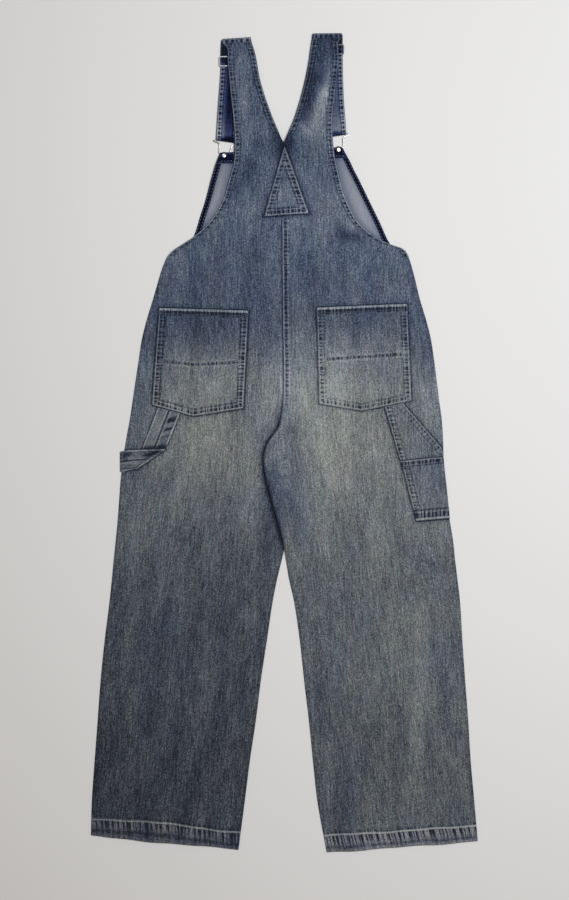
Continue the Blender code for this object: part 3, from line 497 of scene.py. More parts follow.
def sheet_mesh(name, under, up, thick, tone, blue, grain, material, seam=None, hem=None, cover=None):
    """A closed sheet of cloth: its underside's grid, moved along up by its wall.

    seam is the share across a sewn band, the place along it and its strength; hem the height
    above a trouser hem; cover the distance from pieces that lie on the cloth.
    """
    under = np.asarray(under, float)
    rows, cols = under.shape[:2]
    top = under + up * thick[..., None]
    verts = np.concatenate([under.reshape(-1, 3), top.reshape(-1, 3)]) * MM
    size = rows * cols
    number = np.arange(size).reshape(rows, cols)
    a = number[:-1, :-1].ravel()
    b = number[:-1, 1:].ravel()
    c = number[1:, 1:].ravel()
    d = number[1:, :-1].ravel()
    rim = np.concatenate([number[0, :], number[1:, -1], number[-1, -2::-1], number[-2:0:-1, 0]])
    after = np.roll(rim, -1)
    faces = np.concatenate([
        np.stack([a, b, c, d], axis=1) + size,
        np.stack([d, c, b, a], axis=1),
        np.stack([rim, after, after + size, rim + size], axis=1),
    ])
    mesh = bpy.data.meshes.new(name)
    mesh.from_pydata(verts.tolist(), [], faces.tolist())
    shape = tone.shape
    seam = np.zeros(shape + (3,)) + NO_SEAM if seam is None else seam
    hem = np.full(shape, FAR_HEM) if hem is None else hem
    cover = np.full(shape, FAR_HEM) if cover is None else cover
    for key, values in (("tone", tone), ("blue", blue), ("seam", seam), ("hem", hem), ("cover", cover)):
        add_point_data(mesh, key, values, values)
    add_point_data(mesh, "grain", grain, grain + (0.0, 0.0, 9.0))
    return finish_mesh(name, mesh, material)


def pick_seam(choices, shape):
    """The nearest of several sewn bands: each choice is distance, band width, along and strength."""
    best = np.full(shape, 1e9)
    seam = np.zeros(shape + (3,)) + NO_SEAM
    for distance, width, along, strength in choices:
        share = np.asarray(distance, float) / width + np.zeros(shape)
        rank = np.where(np.asarray(strength) + np.zeros(shape) > 0.02, share, 1e8)
        near = rank < best
        best = np.where(near, rank, best)
        values = np.stack([share, along + np.zeros(shape), strength + np.zeros(shape)], axis=-1)
        seam = np.where(near[..., None], values, seam)
    return seam


def inside_outline(points, x, y):
    """True inside a closed outline."""
    inside = np.zeros(np.shape(x), bool)
    count = len(points)
    for k in range(count):
        x0, y0 = points[k]
        x1, y1 = points[(k + 1) % count]
        crosses = (y0 > y) != (y1 > y)
        at = (x1 - x0) * (y - y0) / ((y1 - y0) or 1e-9) + x0
        inside ^= crosses & (x < at)
    return inside


def cover_distance(outlines, x, y):
    """Signed distance from closed outlines, below 0 inside them."""
    total = np.full(np.shape(x), FAR_COVER)
    for points in outlines:
        closed = list(points) + [points[0]]
        gap, _ = line_distance(closed, x, y)
        gap = np.where(inside_outline(points, x, y), -gap, gap)
        total = np.minimum(total, gap)
    return np.clip(total, -30.0, FAR_COVER)


def line_distance(points, x, y):
    """Distance from a polyline and the arc length along it."""
    best = np.full(np.shape(x), 1e9)
    along = np.zeros(np.shape(x))
    run = 0.0
    for (x0, y0), (x1, y1) in zip(points[:-1], points[1:]):
        dx = x1 - x0
        dy = y1 - y0
        length = math.hypot(dx, dy)
        if length < 1e-6:
            continue
        t = np.clip(((x - x0) * dx + (y - y0) * dy) / length ** 2, 0.0, 1.0)
        gap = np.hypot(x - x0 - t * dx, y - y0 - t * dy)
        along = np.where(gap < best, run + t * length, along)
        best = np.minimum(best, gap)
        run += length
    return best, along


def add_point_data(mesh, name, under, top):
    """A number or a vector for each point of a sheet: its underside's grid, then its top's."""
    both = np.concatenate([under, top])
    kind, field = ("FLOAT_VECTOR", "vector") if both.ndim == 3 else ("FLOAT", "value")
    data = mesh.attributes.new(name, kind, "POINT")
    data.data.foreach_set(field, both.astype(np.float32).ravel())


def upwards(points):
    """Straight up at every point."""
    return np.zeros_like(points) + (0.0, 0.0, 1.0)


def finish_mesh(name, mesh, material, angle=50):
    """Turns a mesh into a shown piece, with its material and smooth normals."""
    work = bmesh.new()
    work.from_mesh(mesh)
    bmesh.ops.recalc_face_normals(work, faces=work.faces)
    work.to_mesh(mesh)
    work.free()
    mesh.materials.append(material)
    mesh.shade_smooth()
    mesh.set_sharp_from_angle(angle=math.radians(angle))
    thing = bpy.data.objects.new(name, mesh)
    bpy.context.scene.collection.objects.link(thing)
    return thing


def place(thing, nodes):
    """Seats a piece on the body in place of the part's plain solids."""
    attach(thing, "root")
    if nodes:
        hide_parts(*nodes)
    return thing


def cut_size(grid):
    """Width, length and area of a sheet's middle surface laid flat, in metres."""
    grid = np.asarray(grid, float)
    across = np.linalg.norm(np.diff(grid, axis=1), axis=2).sum(axis=1)
    along = np.linalg.norm(np.diff(grid, axis=0), axis=2).sum(axis=0)
    u = grid[1:, 1:] - grid[:-1, :-1]
    v = grid[1:, :-1] - grid[:-1, 1:]
    area = 0.5 * np.linalg.norm(np.cross(u, v), axis=2).sum()
    return across.max() * MM, along.max() * MM, area * MM * MM


SIZES = {}


def declare(thing, grid):
    """States the cut of a cloth piece in the record of sizes."""
    width, length, area = cut_size(grid)
    width = max(width, 0.01)
    SIZES[thing.name] = (round(width, 3), round(length, 3), round(area, 4))
    area = min(area, width * length * 0.999)


def node(tree, kind, x, y, **values):
    """A shader node at a place in its tree, with its settings."""
    made = tree.nodes.new(kind)
    made.location = (x, y)
    for key, value in values.items():
        setattr(made, key, value)
    return made


def scaled_noise(tree, vector, scale, detail, x, y):
    """Noise whose cells are stretched along the cloth: scale across, along and in depth, per mm."""
    stretch = node(tree, "ShaderNodeVectorMath", x, y, operation="MULTIPLY")
    tree.links.new(vector, stretch.inputs[0])
    stretch.inputs[1].default_value = scale
    noise = node(tree, "ShaderNodeTexNoise", x + 180, y)
    noise.inputs["Scale"].default_value = 1.0
    noise.inputs["Detail"].default_value = detail
    noise.inputs["Roughness"].default_value = 0.55
    tree.links.new(stretch.outputs[0], noise.inputs["Vector"])
    return noise.outputs["Fac"]


def math_node(tree, kind, first, second, x, y, third=None, clamp=False):
    """A maths node on sockets or numbers."""
    made = node(tree, "ShaderNodeMath", x, y, operation=kind, use_clamp=clamp)
    for socket, value in zip(made.inputs, (first, second, third)):
        if isinstance(value, (int, float)):
            socket.default_value = value
        elif value is not None:
            tree.links.new(value, socket)
    return made.outputs[0]


def add_share(tree, base, value, share, x, y):
    """base + (value - 0.5) * share."""
    centred = math_node(tree, "SUBTRACT", value, 0.5, x, y)
    return math_node(tree, "MULTIPLY_ADD", centred, share, x + 160, y, third=base)


def ramp_of(tree, value, stops, x, y):
    """Colours read along a ramp."""
    ramp = node(tree, "ShaderNodeValToRGB", x, y)
    elements = ramp.color_ramp.elements
    while len(elements) < len(stops):
        elements.new(0.5)
    for element, (place_at, colour) in zip(elements, stops):
        element.position = place_at
        element.color = (*colour, 1.0)
    tree.links.new(value, ramp.inputs["Fac"])
    return ramp.outputs["Color"]


BLUE_RAMP = (
    (0.0, (0.007, 0.010, 0.026)), (0.25, (0.028, 0.0455, 0.092)), (0.5, (0.080, 0.111, 0.172)),
    (0.75, (0.18, 0.215, 0.265)), (1.0, (0.36, 0.39, 0.44)),
)
NAVY_RAMP = (
    (0.0, (0.003, 0.004, 0.018)), (0.25, (0.021, 0.029, 0.098)), (0.5, (0.078, 0.100, 0.165)),
    (0.75, (0.17, 0.20, 0.26)), (1.0, (0.36, 0.39, 0.44)),
)
GREY_RAMP = (
    (0.0, (0.011, 0.015, 0.024)), (0.25, (0.046, 0.053, 0.071)), (0.5, (0.118, 0.131, 0.142)),
    (0.75, (0.219, 0.234, 0.226)), (1.0, (0.37, 0.39, 0.38)),
)


def profile(tree, value, top, stops, x, y):
    """A change of tone read from stops of distance and change, straight between them."""
    shifted = math_node(tree, "DIVIDE", value, float(top), x, y)
    grey = [(at / top, (0.5 + change,) * 3) for at, change in stops]
    colour = ramp_of(tree, shifted, grey, x + 180, y)
    return math_node(tree, "SUBTRACT", colour, 0.5, x + 480, y)


def notches(tree, along, period, key, x, y, most=-0.65, wander=16.0):
    """Uneven dark pulses along a seam, 0 to 1; the lower most is, the fewer of them are deep."""
    spot = node(tree, "ShaderNodeCombineXYZ", x, y)
    tree.links.new(along, spot.inputs[0])
    spot.inputs[1].default_value = 40.0 * key
    drift = scaled_noise(tree, spot.outputs[0], (0.05, 1.0, 1.0), 2.0, x + 160, y)
    size = scaled_noise(tree, spot.outputs[0], (0.16, 1.0, 1.0), 1.0, x + 160, y - 220)
    turns = math_node(tree, "MULTIPLY", along, 2 * math.pi / period, x + 160, y + 200)
    phase = math_node(tree, "MULTIPLY_ADD", drift, wander, x + 540, y, third=turns)
    wave = math_node(tree, "SINE", phase, None, x + 720, y)
    pulse = math_node(tree, "MULTIPLY_ADD", wave, 1.6, x + 900, y, third=0.15, clamp=True)
    strong = math_node(tree, "MULTIPLY_ADD", size, 3.0, x + 720, y - 220, third=most, clamp=True)
    return math_node(tree, "MULTIPLY", pulse, strong, x + 1080, y)


# Tone across a sewn band, each row: share of the band's width, change of tone
# The dark at the band's cut edge and where its turned cloth ends is painted shade; the pale rows are worn
# sewn lines.
BAND_LINES = ((0.0, -0.44), (0.06, -0.34), (0.13, 0.26), (0.24, 0.26), (0.34, -0.10), (0.5, -0.08),
              (0.68, -0.08), (0.78, 0.13), (0.86, 0.10), (0.95, -0.24), (1.05, -0.20), (1.3, 0.0))
BAND_NOTCHES = ((0.0, 0.0), (0.25, 0.14), (0.34, 0.92), (0.69, 0.92), (0.80, 0.30), (1.0, 0.34), (1.3, 0.0))

# Tone above a trouser hem, each row: millimetres, change of tone
HEM_LINES = ((0.0, 0.04), (1.5, 0.28), (4.0, 0.20), (6.6, 0.06), (8.0, -0.04), (9.4, -0.02), (11.5, 0.18),
             (18.0, 0.26), (26.0, 0.28), (28.6, 0.14), (29.6, 0.52),
             (31.6, 0.50), (33.0, -0.06), (36.0, -0.02), (40.0, 0.0))
HEM_NOTCHES = ((0.0, 0.16), (5.0, 0.22), (8.0, 0.28), (12.0, 0.40), (16.0, 0.62), (20.0, 1.00),
               (26.0, 1.30), (28.6, 0.60), (30.0, 0.10), (32.0, 0.14), (34.0, 0.44), (40.0, 0.0))


# Noise of the cloth, each: scale across, along and in depth per mm, detail, share of tone or colour
LONG_SLUB = ((0.36, 0.034, 0.2), 2.0, 0.70)
SHORT_SLUB = ((0.50, 0.14, 0.2), 2.0, 0.56)
CLOUD = ((0.034, 0.008, 0.2), 3.0, 0.48)
FUZZ = ((0.62, 0.40, 0.2), 2.0, 1.36)
DRIFT = ((0.028, 0.011, 0.9), 3.0, 1.25)
MOTTLE = ((0.34, 0.16, 0.9), 1.0, 0.3)
CAST = ((0.062, 0.03, 0.4), 2.0, 0.22)

# Mean distance between the dark notches of a sewn band and of a trouser hem
BAND_PERIOD = 7.4
HEM_PERIOD = 10.0


def seam_tone(tree, y):
    """Change of tone by seam bands, hems and the shade beside pieces that lie on the cloth."""
    seam = node(tree, "ShaderNodeAttribute", -2600, y, attribute_name="seam")
    apart = node(tree, "ShaderNodeSeparateXYZ", -2400, y)
    tree.links.new(seam.outputs["Vector"], apart.inputs[0])
    share, along, strength = apart.outputs
    lines = profile(tree, share, 1.3, BAND_LINES, -2200, y)
    depth = profile(tree, share, 1.3, BAND_NOTCHES, -2200, y - 300)
    pulse = notches(tree, along, BAND_PERIOD, 1.0, -2400, y - 700, wander=19.0)
    cut = math_node(tree, "MULTIPLY", depth, pulse, -1500, y - 300)
    band_tone = math_node(tree, "SUBTRACT", lines, cut, -1300, y)
    band_tone = math_node(tree, "MULTIPLY", band_tone, strength, -1100, y)
    above = node(tree, "ShaderNodeAttribute", -2600, y - 1300, attribute_name="hem")
    grain = node(tree, "ShaderNodeAttribute", -2600, y - 1500, attribute_name="grain")
    across = node(tree, "ShaderNodeSeparateXYZ", -2400, y - 1500)
    tree.links.new(grain.outputs["Vector"], across.inputs[0])
    hem_lines = profile(tree, above.outputs["Fac"], 40.0, HEM_LINES, -2200, y - 1300)
    hem_depth = profile(tree, above.outputs["Fac"], 40.0, HEM_NOTCHES, -2200, y - 1600)
    lean = math_node(tree, "MULTIPLY_ADD", above.outputs["Fac"], 0.18, -2200, y - 1850,
                     third=across.outputs[0])
    hem_pulse = notches(tree, lean, HEM_PERIOD, 2.0, -2000, y - 2000, most=-0.95, wander=26.0)
    hem_cut = math_node(tree, "MULTIPLY", hem_depth, hem_pulse, -1500, y - 1600)
    hem_tone = math_node(tree, "SUBTRACT", hem_lines, hem_cut, -1300, y - 1300)
    cover = node(tree, "ShaderNodeAttribute", -2600, y - 2500, attribute_name="cover")
    shade = profile(tree, cover.outputs["Fac"], 9.0, ((0.0, -0.46), (1.2, -0.42), (2.8, -0.10), (9.0, 0.0)),
                    -2200, y - 2500)
    total = math_node(tree, "ADD", band_tone, hem_tone, -900, y)
    return math_node(tree, "ADD", total, shade, -700, y)


def new_material(name):
    """A material, its node tree and its shader."""
    material = bpy.data.materials.new(name)
    material.use_nodes = True
    return material, material.node_tree, material.node_tree.nodes["Principled BSDF"]


def add_relief(tree, shader, height, strength, distance, x, y):
    """Fine relief on a shader, from a height between 0 and 1."""
    bumps = node(tree, "ShaderNodeBump", x, y)
    bumps.inputs["Strength"].default_value = strength
    bumps.inputs["Distance"].default_value = distance
    tree.links.new(height, bumps.inputs["Height"])
    tree.links.new(bumps.outputs[0], shader.inputs["Normal"])


def vary_roughness(tree, shader, value, low, high, x, y):
    """Roughness that runs from low to high with a value between 0 and 1."""
    spread = node(tree, "ShaderNodeMapRange", x, y)
    tree.links.new(value, spread.inputs["Value"])
    spread.inputs["To Min"].default_value = low
    spread.inputs["To Max"].default_value = high
    tree.links.new(spread.outputs[0], shader.inputs["Roughness"])


def denim_material(name, slub=1.0, rough=0.93, blue_ramp=BLUE_RAMP, sheen=0.08, lilac=0.0):
    """Washed denim: its tone comes from the mesh, its slubs, twill and fuzz from noise."""
    material, tree, shader = new_material(name)
    shader.location = (1400, 0)
    tree.nodes["Material Output"].location = (1700, 0)
    grain = node(tree, "ShaderNodeAttribute", -900, 0, attribute_name="grain")
    tone = node(tree, "ShaderNodeAttribute", -900, 260, attribute_name="tone")
    blue = node(tree, "ShaderNodeAttribute", -900, 460, attribute_name="blue")
    vector = grain.outputs["Vector"]
    long_slub = scaled_noise(tree, vector, *LONG_SLUB[:2], -650, 0)
    short_slub = scaled_noise(tree, vector, *SHORT_SLUB[:2], -650, -220)
    cloud = scaled_noise(tree, vector, *CLOUD[:2], -650, -440)
    fuzz = scaled_noise(tree, vector, *FUZZ[:2], -650, -660)
    broad = math_node(tree, "ADD", tone.outputs["Fac"], seam_tone(tree, 1200), -400, 400)
    broad = add_share(tree, broad, cloud, CLOUD[2] * slub, -250, 400)
    value = add_share(tree, broad, long_slub, LONG_SLUB[2] * slub, -250, 0)
    value = add_share(tree, value, short_slub, SHORT_SLUB[2] * slub, 100, 0)
    value = add_share(tree, value, fuzz, FUZZ[2] * slub, 100, -440)
    blues = ramp_of(tree, value, blue_ramp, 480, 200)
    greys = ramp_of(tree, value, GREY_RAMP, 480, -100)
    mix = node(tree, "ShaderNodeMix", 800, 80, data_type="RGBA")
    drift = scaled_noise(tree, vector, *DRIFT[:2], -650, 700)
    mottle = scaled_noise(tree, vector, *MOTTLE[:2], -650, 950)
    hue = add_share(tree, blue.outputs["Fac"], drift, DRIFT[2], -250, 700)
    hue = add_share(tree, hue, mottle, MOTTLE[2], 100, 700)
    fine = math_node(tree, "SUBTRACT", value, broad, 480, 500)
    hue = math_node(tree, "MULTIPLY_ADD", fine, 1.0, 480, 700, third=hue, clamp=True)
    tree.links.new(hue, mix.inputs["Factor"])
    tree.links.new(greys, mix.inputs["A"])
    tree.links.new(blues, mix.inputs["B"])
    cast = scaled_noise(tree, vector, *CAST[:2], 480, 1000)
    green = add_share(tree, 1.0, cast, CAST[2], 800, 1000)
    above = node(tree, "ShaderNodeAttribute", 300, 1300, attribute_name="hem")
    hem_cast = profile(tree, above.outputs["Fac"], 40.0,
                       ((0.0, -0.06), (28.0, -0.06), (32.0, 0.0), (40.0, 0.0)), 500, 1300)
    green = math_node(tree, "ADD", green, hem_cast, 1000, 1150)
    tint = node(tree, "ShaderNodeCombineColor", 1100, 1000)
    tree.links.new(green, tint.inputs["Green"])
    tint.inputs["Red"].default_value = 1.0 + lilac
    tint.inputs["Blue"].default_value = 1.0 + 1.3 * lilac
    tinted = node(tree, "ShaderNodeVectorMath", 1200, 300, operation="MULTIPLY")
    tree.links.new(mix.outputs["Result"], tinted.inputs[0])
    tree.links.new(tint.outputs["Color"], tinted.inputs[1])
    tree.links.new(tinted.outputs["Vector"], shader.inputs["Base Color"])
    twist = node(tree, "ShaderNodeVectorMath", -650, -900, operation="DOT_PRODUCT")
    tree.links.new(vector, twist.inputs[0])
    twist.inputs[1].default_value = (3.4, 2.2, 0.0)
    twill = math_node(tree, "SINE", twist.outputs["Value"], None, -450, -900)
    lift = math_node(tree, "MULTIPLY", twill, 0.25, -250, -900)
    height = add_share(tree, lift, short_slub, 1.6, 100, -800)
    height = add_share(tree, height, fuzz, 0.8, 480, -800)
    add_relief(tree, shader, height, 0.45, 0.0003, 1100, -500)
    vary_roughness(tree, shader, long_slub, rough - 0.08, rough + 0.05, 800, -250)
    shader.inputs["Sheen Weight"].default_value = sheen
    shader.inputs["Sheen Roughness"].default_value = 0.5
    shader.inputs["Specular IOR Level"].default_value = 3.0 * sheen
    return material


def thread_material(name, dark, light):
    """Sewing thread: two close colours that change from stitch to stitch, with a fine twist."""
    material, tree, shader = new_material(name)
    where = node(tree, "ShaderNodeTexCoord", -900, 0)
    patch = scaled_noise(tree, where.outputs["Object"], (90.0, 90.0, 90.0), 2.0, -700, 100)
    twist = scaled_noise(tree, where.outputs["Object"], (2600.0, 2600.0, 2600.0), 1.0, -700, -200)
    colour = ramp_of(tree, patch, ((0.3, dark), (0.7, light)), -250, 100)
    tree.links.new(colour, shader.inputs["Base Color"])
    add_relief(tree, shader, twist, 0.3, 0.0001, -250, -200)
    shader.inputs["Roughness"].default_value = 0.75
    return material


def metal_material(name, colour, rough):
    """Brushed metal with fine scratches and a little wear."""
    material, tree, shader = new_material(name)
    where = node(tree, "ShaderNodeTexCoord", -900, 0)
    fine = scaled_noise(tree, where.outputs["Object"], (300.0, 3500.0, 900.0), 2.0, -700, 100)
    stain = scaled_noise(tree, where.outputs["Object"], (160.0, 160.0, 160.0), 3.0, -700, -200)
    dull = tuple(0.72 * c for c in colour)
    shade = ramp_of(tree, stain, ((0.3, dull), (0.6, colour)), -250, 100)
    tree.links.new(shade, shader.inputs["Base Color"])
    vary_roughness(tree, shader, fine, rough - 0.08, rough + 0.14, -250, -120)
    add_relief(tree, shader, fine, 0.12, 0.0001, -250, -360)
    shader.inputs["Metallic"].default_value = 1.0
    return material


DENIM = denim_material("washed_denim")
DARK_DENIM = denim_material("dark_denim", slub=0.5, rough=0.9, blue_ramp=NAVY_RAMP, sheen=0.02)
INSIDE = denim_material("denim_wrong_side", slub=0.22, lilac=0.055)
THREAD = thread_material("worn_thread", (0.11, 0.13, 0.17), (0.22, 0.25, 0.29))
PALE_THREAD = thread_material("pale_thread", (0.17, 0.18, 0.23), (0.29, 0.31, 0.36))
SILVER = metal_material("brushed_silver", (0.78, 0.78, 0.77), 0.3)
STEEL = metal_material("dull_steel", (0.15, 0.15, 0.17), 0.42)
PEWTER = metal_material("worn_pewter", (0.50, 0.50, 0.52), 0.5)


def panel_grid(outer, inner, top, hem, middle):
    """Grid of a back panel: x, y, distance from the outer and inner edge, distance from the hem."""
    high = top[1]
    low = hem[1]
    steps = []
    v = high
    while v > low:
        steps.append(v)
        if v > high - 14 or v < low + 34:
            v -= 1.5
        elif -42 < v < 24:
            v -= 1.3
        else:
            v -= 2.7
    steps.append(low)
    v = np.array(steps)
    y_in = v
    y_out = v + (top[0] - top[1]) * ease(v, high - 60, high)
    y_out = y_out + (hem[0] - hem[1]) * (1.0 - ease(v, low, low + 150))
    x_out = curve_at(outer, y_out)
    x_in = curve_at(inner, y_in)
    edge = np.array([0.0, 0.6, 1.8, 3.5, 5.5, 7.5, 9.5, 11.0, 12.2, EDGE_ZONE])
    width = np.hypot(x_in - x_out, y_in - y_out)[:, None]
    first = edge[None, :] / width
    inside = np.linspace(0.0, 1.0, middle + 2)[1:-1][None, :]
    centre = EDGE_ZONE / width + (1.0 - 2 * EDGE_ZONE / width) * inside
    parts = np.concatenate([first, centre, (1.0 - first)[:, ::-1]], axis=1)
    x = x_out[:, None] + (x_in - x_out)[:, None] * parts
    y = y_out[:, None] + (y_in - y_out)[:, None] * parts
    stray = 0.8 * np.sin(x / 29.0 + 0.5) + 0.5 * np.sin(x / 12.0)
    y = y + stray * (1.0 - ease(v - low, 4.0, 30.0))[:, None]
    return x, y, parts * width, (1.0 - parts) * width, (v - low)[:, None] + 0.0 * parts


def shoulder_fold(first, runs, angles):
    """Rows of the strap's end turned round and under, from the flap's edge to the first row."""
    rows = []
    ups = []
    inner = FOLD_RADIUS - WALL / 2
    for run in runs:
        row = first.copy()
        row[:, 1] = first[:, 1] - run
        row[:, 2] = FOLD_Z - inner
        rows.append(row)
        ups.append(np.tile([0.0, 0.0, -1.0], (len(row), 1)))
    for angle in angles:
        turn = math.radians(angle)
        row = first.copy()
        row[:, 1] = first[:, 1] + inner * math.cos(turn)
        row[:, 2] = FOLD_Z + inner * math.sin(turn)
        rows.append(row)
        ups.append(np.tile([0.0, math.cos(turn), math.sin(turn)], (len(row), 1)))
    return np.array(rows), np.array(ups)


def barred(distance, width):
    """A band's distance bent so that its notches fill most of its height."""
    share = np.interp(distance / width, (0.0, 0.08, 0.2, 0.7, 0.82, 1.0), (0.08, 0.2, 0.4, 0.62, 0.9, 1.1))
    return share * width


def double_line(distance, width):
    """A band's distance bent so that it shows two sewn lines and no notches."""
    share = np.interp(distance / width, (0.0, 0.12, 0.30, 0.40, 0.88, 1.0, 1.1),
                      (0.02, 0.12, 0.25, 0.73, 0.86, 0.97, 1.3))
    return share * width


def hem_wave(x):
    """How far the sewn line above a hem strays from straight."""
    sway = 0.7 * np.sin(x / 24.0) + 0.45 * np.sin(x / 9.5 + 1.0)
    return sway - 7.6 * np.exp(-((x + 245.0) / 92.0) ** 2)


def deep_notches(distance, width):
    """A band's distance bent so that its notches lie in the inner half."""
    share = np.interp(distance / width, (0.0, 0.10, 0.34, 0.46, 0.92, 1.04, 1.3),
                      (0.08, 0.16, 0.26, 0.37, 0.66, 0.82, 1.3))
    return share * width


def from_sewn_line(x, above_hem):
    """Height above a hem, bent to follow the stray of its sewn line."""
    return above_hem + hem_wave(x) * ease(above_hem, 0.0, 18.0)


def with_fold(rows, count):
    """A panel's values with the first row repeated round the shoulder's fold."""
    return np.concatenate([np.repeat(rows[:1], count, axis=0), rows])


def panel_finish(side, x, y, d_out, d_in, above_hem, top):
    """Extra thickness, tone and seams of a back panel's edges and hems, with painted shade along some of
    them.
    """
    key = 1.0 if side == "left" else 5.0
    extra = np.zeros(x.shape)
    tone = np.zeros(x.shape)
    below_end = 1.0 - ease(y, top - 9.0, top - 8.0)
    arm = ease(y, *ARM_FOOT) * below_end
    neck = ease(y, *NECK_FOOT) * below_end
    end = 1.0 - ease(top - y, 8.0, TOP_BAND)
    smooth = np.where((side == "left") & (y > PLAIN_STRAP), double_line(d_out, SIDE_BAND), d_out)
    tone = tone + 0.26 * bump(d_out, 1.7, 1.1) * arm * (1.0 - ease(y, 470, 560))
    choices = [(smooth, SIDE_BAND, y + 300.0 * key, 0.72 * arm),
               (d_in, SIDE_BAND, y + 500.0 * key, 0.78 * neck),
               (barred(top - y, TOP_BAND), TOP_BAND, x, 1.1 * end)]
    tone = tone + 0.22 * band(top - y, 0.6, 6.0, 1.0)
    for distance, active, k in ((d_out, arm, key), (d_in, neck, key + 7.0)):
        inside = band(distance, 1.5, 8.5, 1.8) * active
        extra = extra + TURNED * (1.0 - ease(distance, *TURN_END)) * active
        extra = extra + 0.32 * ripple(y, 8.2, k) * inside
    sewn = ease(y, *SEAM_FOOT) * (1.0 - ease(y, *SEAM_TOP))
    if side == "right":
        centre = ease(y, *LAP_FOOT) * (1.0 - ease(y, *SEAM_TOP))
        inside = band(d_in, 1.5, 9.5, 1.8) * centre
        extra = extra + TURNED * (1.0 - ease(d_in, *TURN_END)) * centre
        extra = extra + 0.28 * ripple(y, 9.0, 3.3) * inside
        choices.append((d_in, 12.0, y + 900.0, 0.50 * sewn))
        tone = tone + (0.24 * bump(d_in, 2.0, 1.6) + 0.34 * bump(d_in, 11.4, 1.9)) * sewn
        tone = tone - 0.16 * bump(d_in, 6.0, 2.2) * sewn
        # Painted shade along the right panel's folded edge over the left leg at the crotch.
        fold = ease(y, -196, -170) * (1.0 - ease(y, *SEAM_FOOT))
        tone = tone - 0.34 * bump(d_in, 0.0, 5.0) * fold
    else:
        # Painted shadow of the right panel's lapped edge on the left panel: a thin line beside the centre
        # seam, next to a pale sewn line, and a wide one beside the crotch fold.
        gap = curve_at(RIGHT_INNER, y) - x
        tone = tone + (0.26 * bump(gap, 3.2, 1.6) - 0.14 * bump(gap, 0.6, 1.6)) * sewn
        low = ease(y, -205, -175) * (1.0 - ease(y, 30, 90))
        tone = tone - 0.30 * bump(gap, 0.0, 8.0) * low - 0.10 * bump(gap, 0.0, 26.0) * low
    leg = 0.35 * (1.0 - ease(y, *SIDE_TOP)) * ease(above_hem, 30, 40)
    inseam = 0.35 * (1.0 - ease(y, *INSEAM_TOP)) * ease(above_hem, 30, 40)
    choices += [(d_out, 6.0, y, 0.4 * leg), (d_in, 6.0, y + 60.0, 0.4 * inseam)]
    # Painted shade where the leg's side edge and inseam turn down to the floor.
    tone = tone - 0.5 * (bump(d_out, 0.0, 2.6) * leg + bump(d_in, 0.0, 2.6) * inseam)
    for distance, active, k in ((d_out, leg, key + 11.0), (d_in, inseam, key + 13.0)):
        inside = band(distance, 1.0, 6.0, 3.0) * active
        extra = extra + 0.4 * ripple(y, 11.0, k) * inside
    above_hem = from_sewn_line(x, above_hem)
    rope = np.sin(2 * math.pi * (x + 0.3 * above_hem) / ROPE + 1.2 * np.sin(x / 21.0 + key)
                  + 0.8 * np.sin(x / 8.3 + key))
    folded = 1.0 - ease(above_hem, HEM_LINE - 0.5, HEM_LINE + 1.3)
    inside = band(above_hem, 2.0, 27.0, 2.0)
    extra = extra + TURNED * folded + 0.42 * rope * inside
    extra = extra + TURNED * end + 0.3 * ripple(x, 7.0, key + 2.0) * band(top - y, 0.5, 6.0, 1.2)
    return extra, tone, pick_seam(choices, x.shape)


def outline_of(rows):
    """Closed outline of a strip of rows: edge A x, y, edge B x, y."""
    return [row[:2] for row in rows] + [row[2:4] for row in rows[::-1]]


def covered(side, x, y):
    """Distance of a back panel's points from the pieces that lie on it."""
    if side == "left":
        shapes = (POCKET_LEFT, PATCH, outline_of(LOOP_UNDER + LOOP_OVER))
    else:
        shapes = (POCKET_RIGHT, PATCH, outline_of(TOOL_UPPER + TOOL_LOWER))
    # These distances set the painted shadow beside each piece that lies on the panel.
    total = cover_distance(shapes, x, y)
    if side == "left":
        fold = (LOOP_UNDER[-1][:2], LOOP_UNDER[-1][2:4])
        # Moved 2 mm out along the loop's fold, which widens its painted shadow.
        total = np.minimum(total, line_distance(fold, x, y)[0] - 2.0)
        # Painted shadow beside the right panel's lapped edge, weaker higher up.
        seam = curve_at(RIGHT_INNER, y) - x
        seam = seam + 90.0 * (ease(y, 408, 414) + 1.0 - ease(y, -205, -195)) + 1.5 * ease(y, 20, 90)
        total = np.minimum(total, seam)
    return total


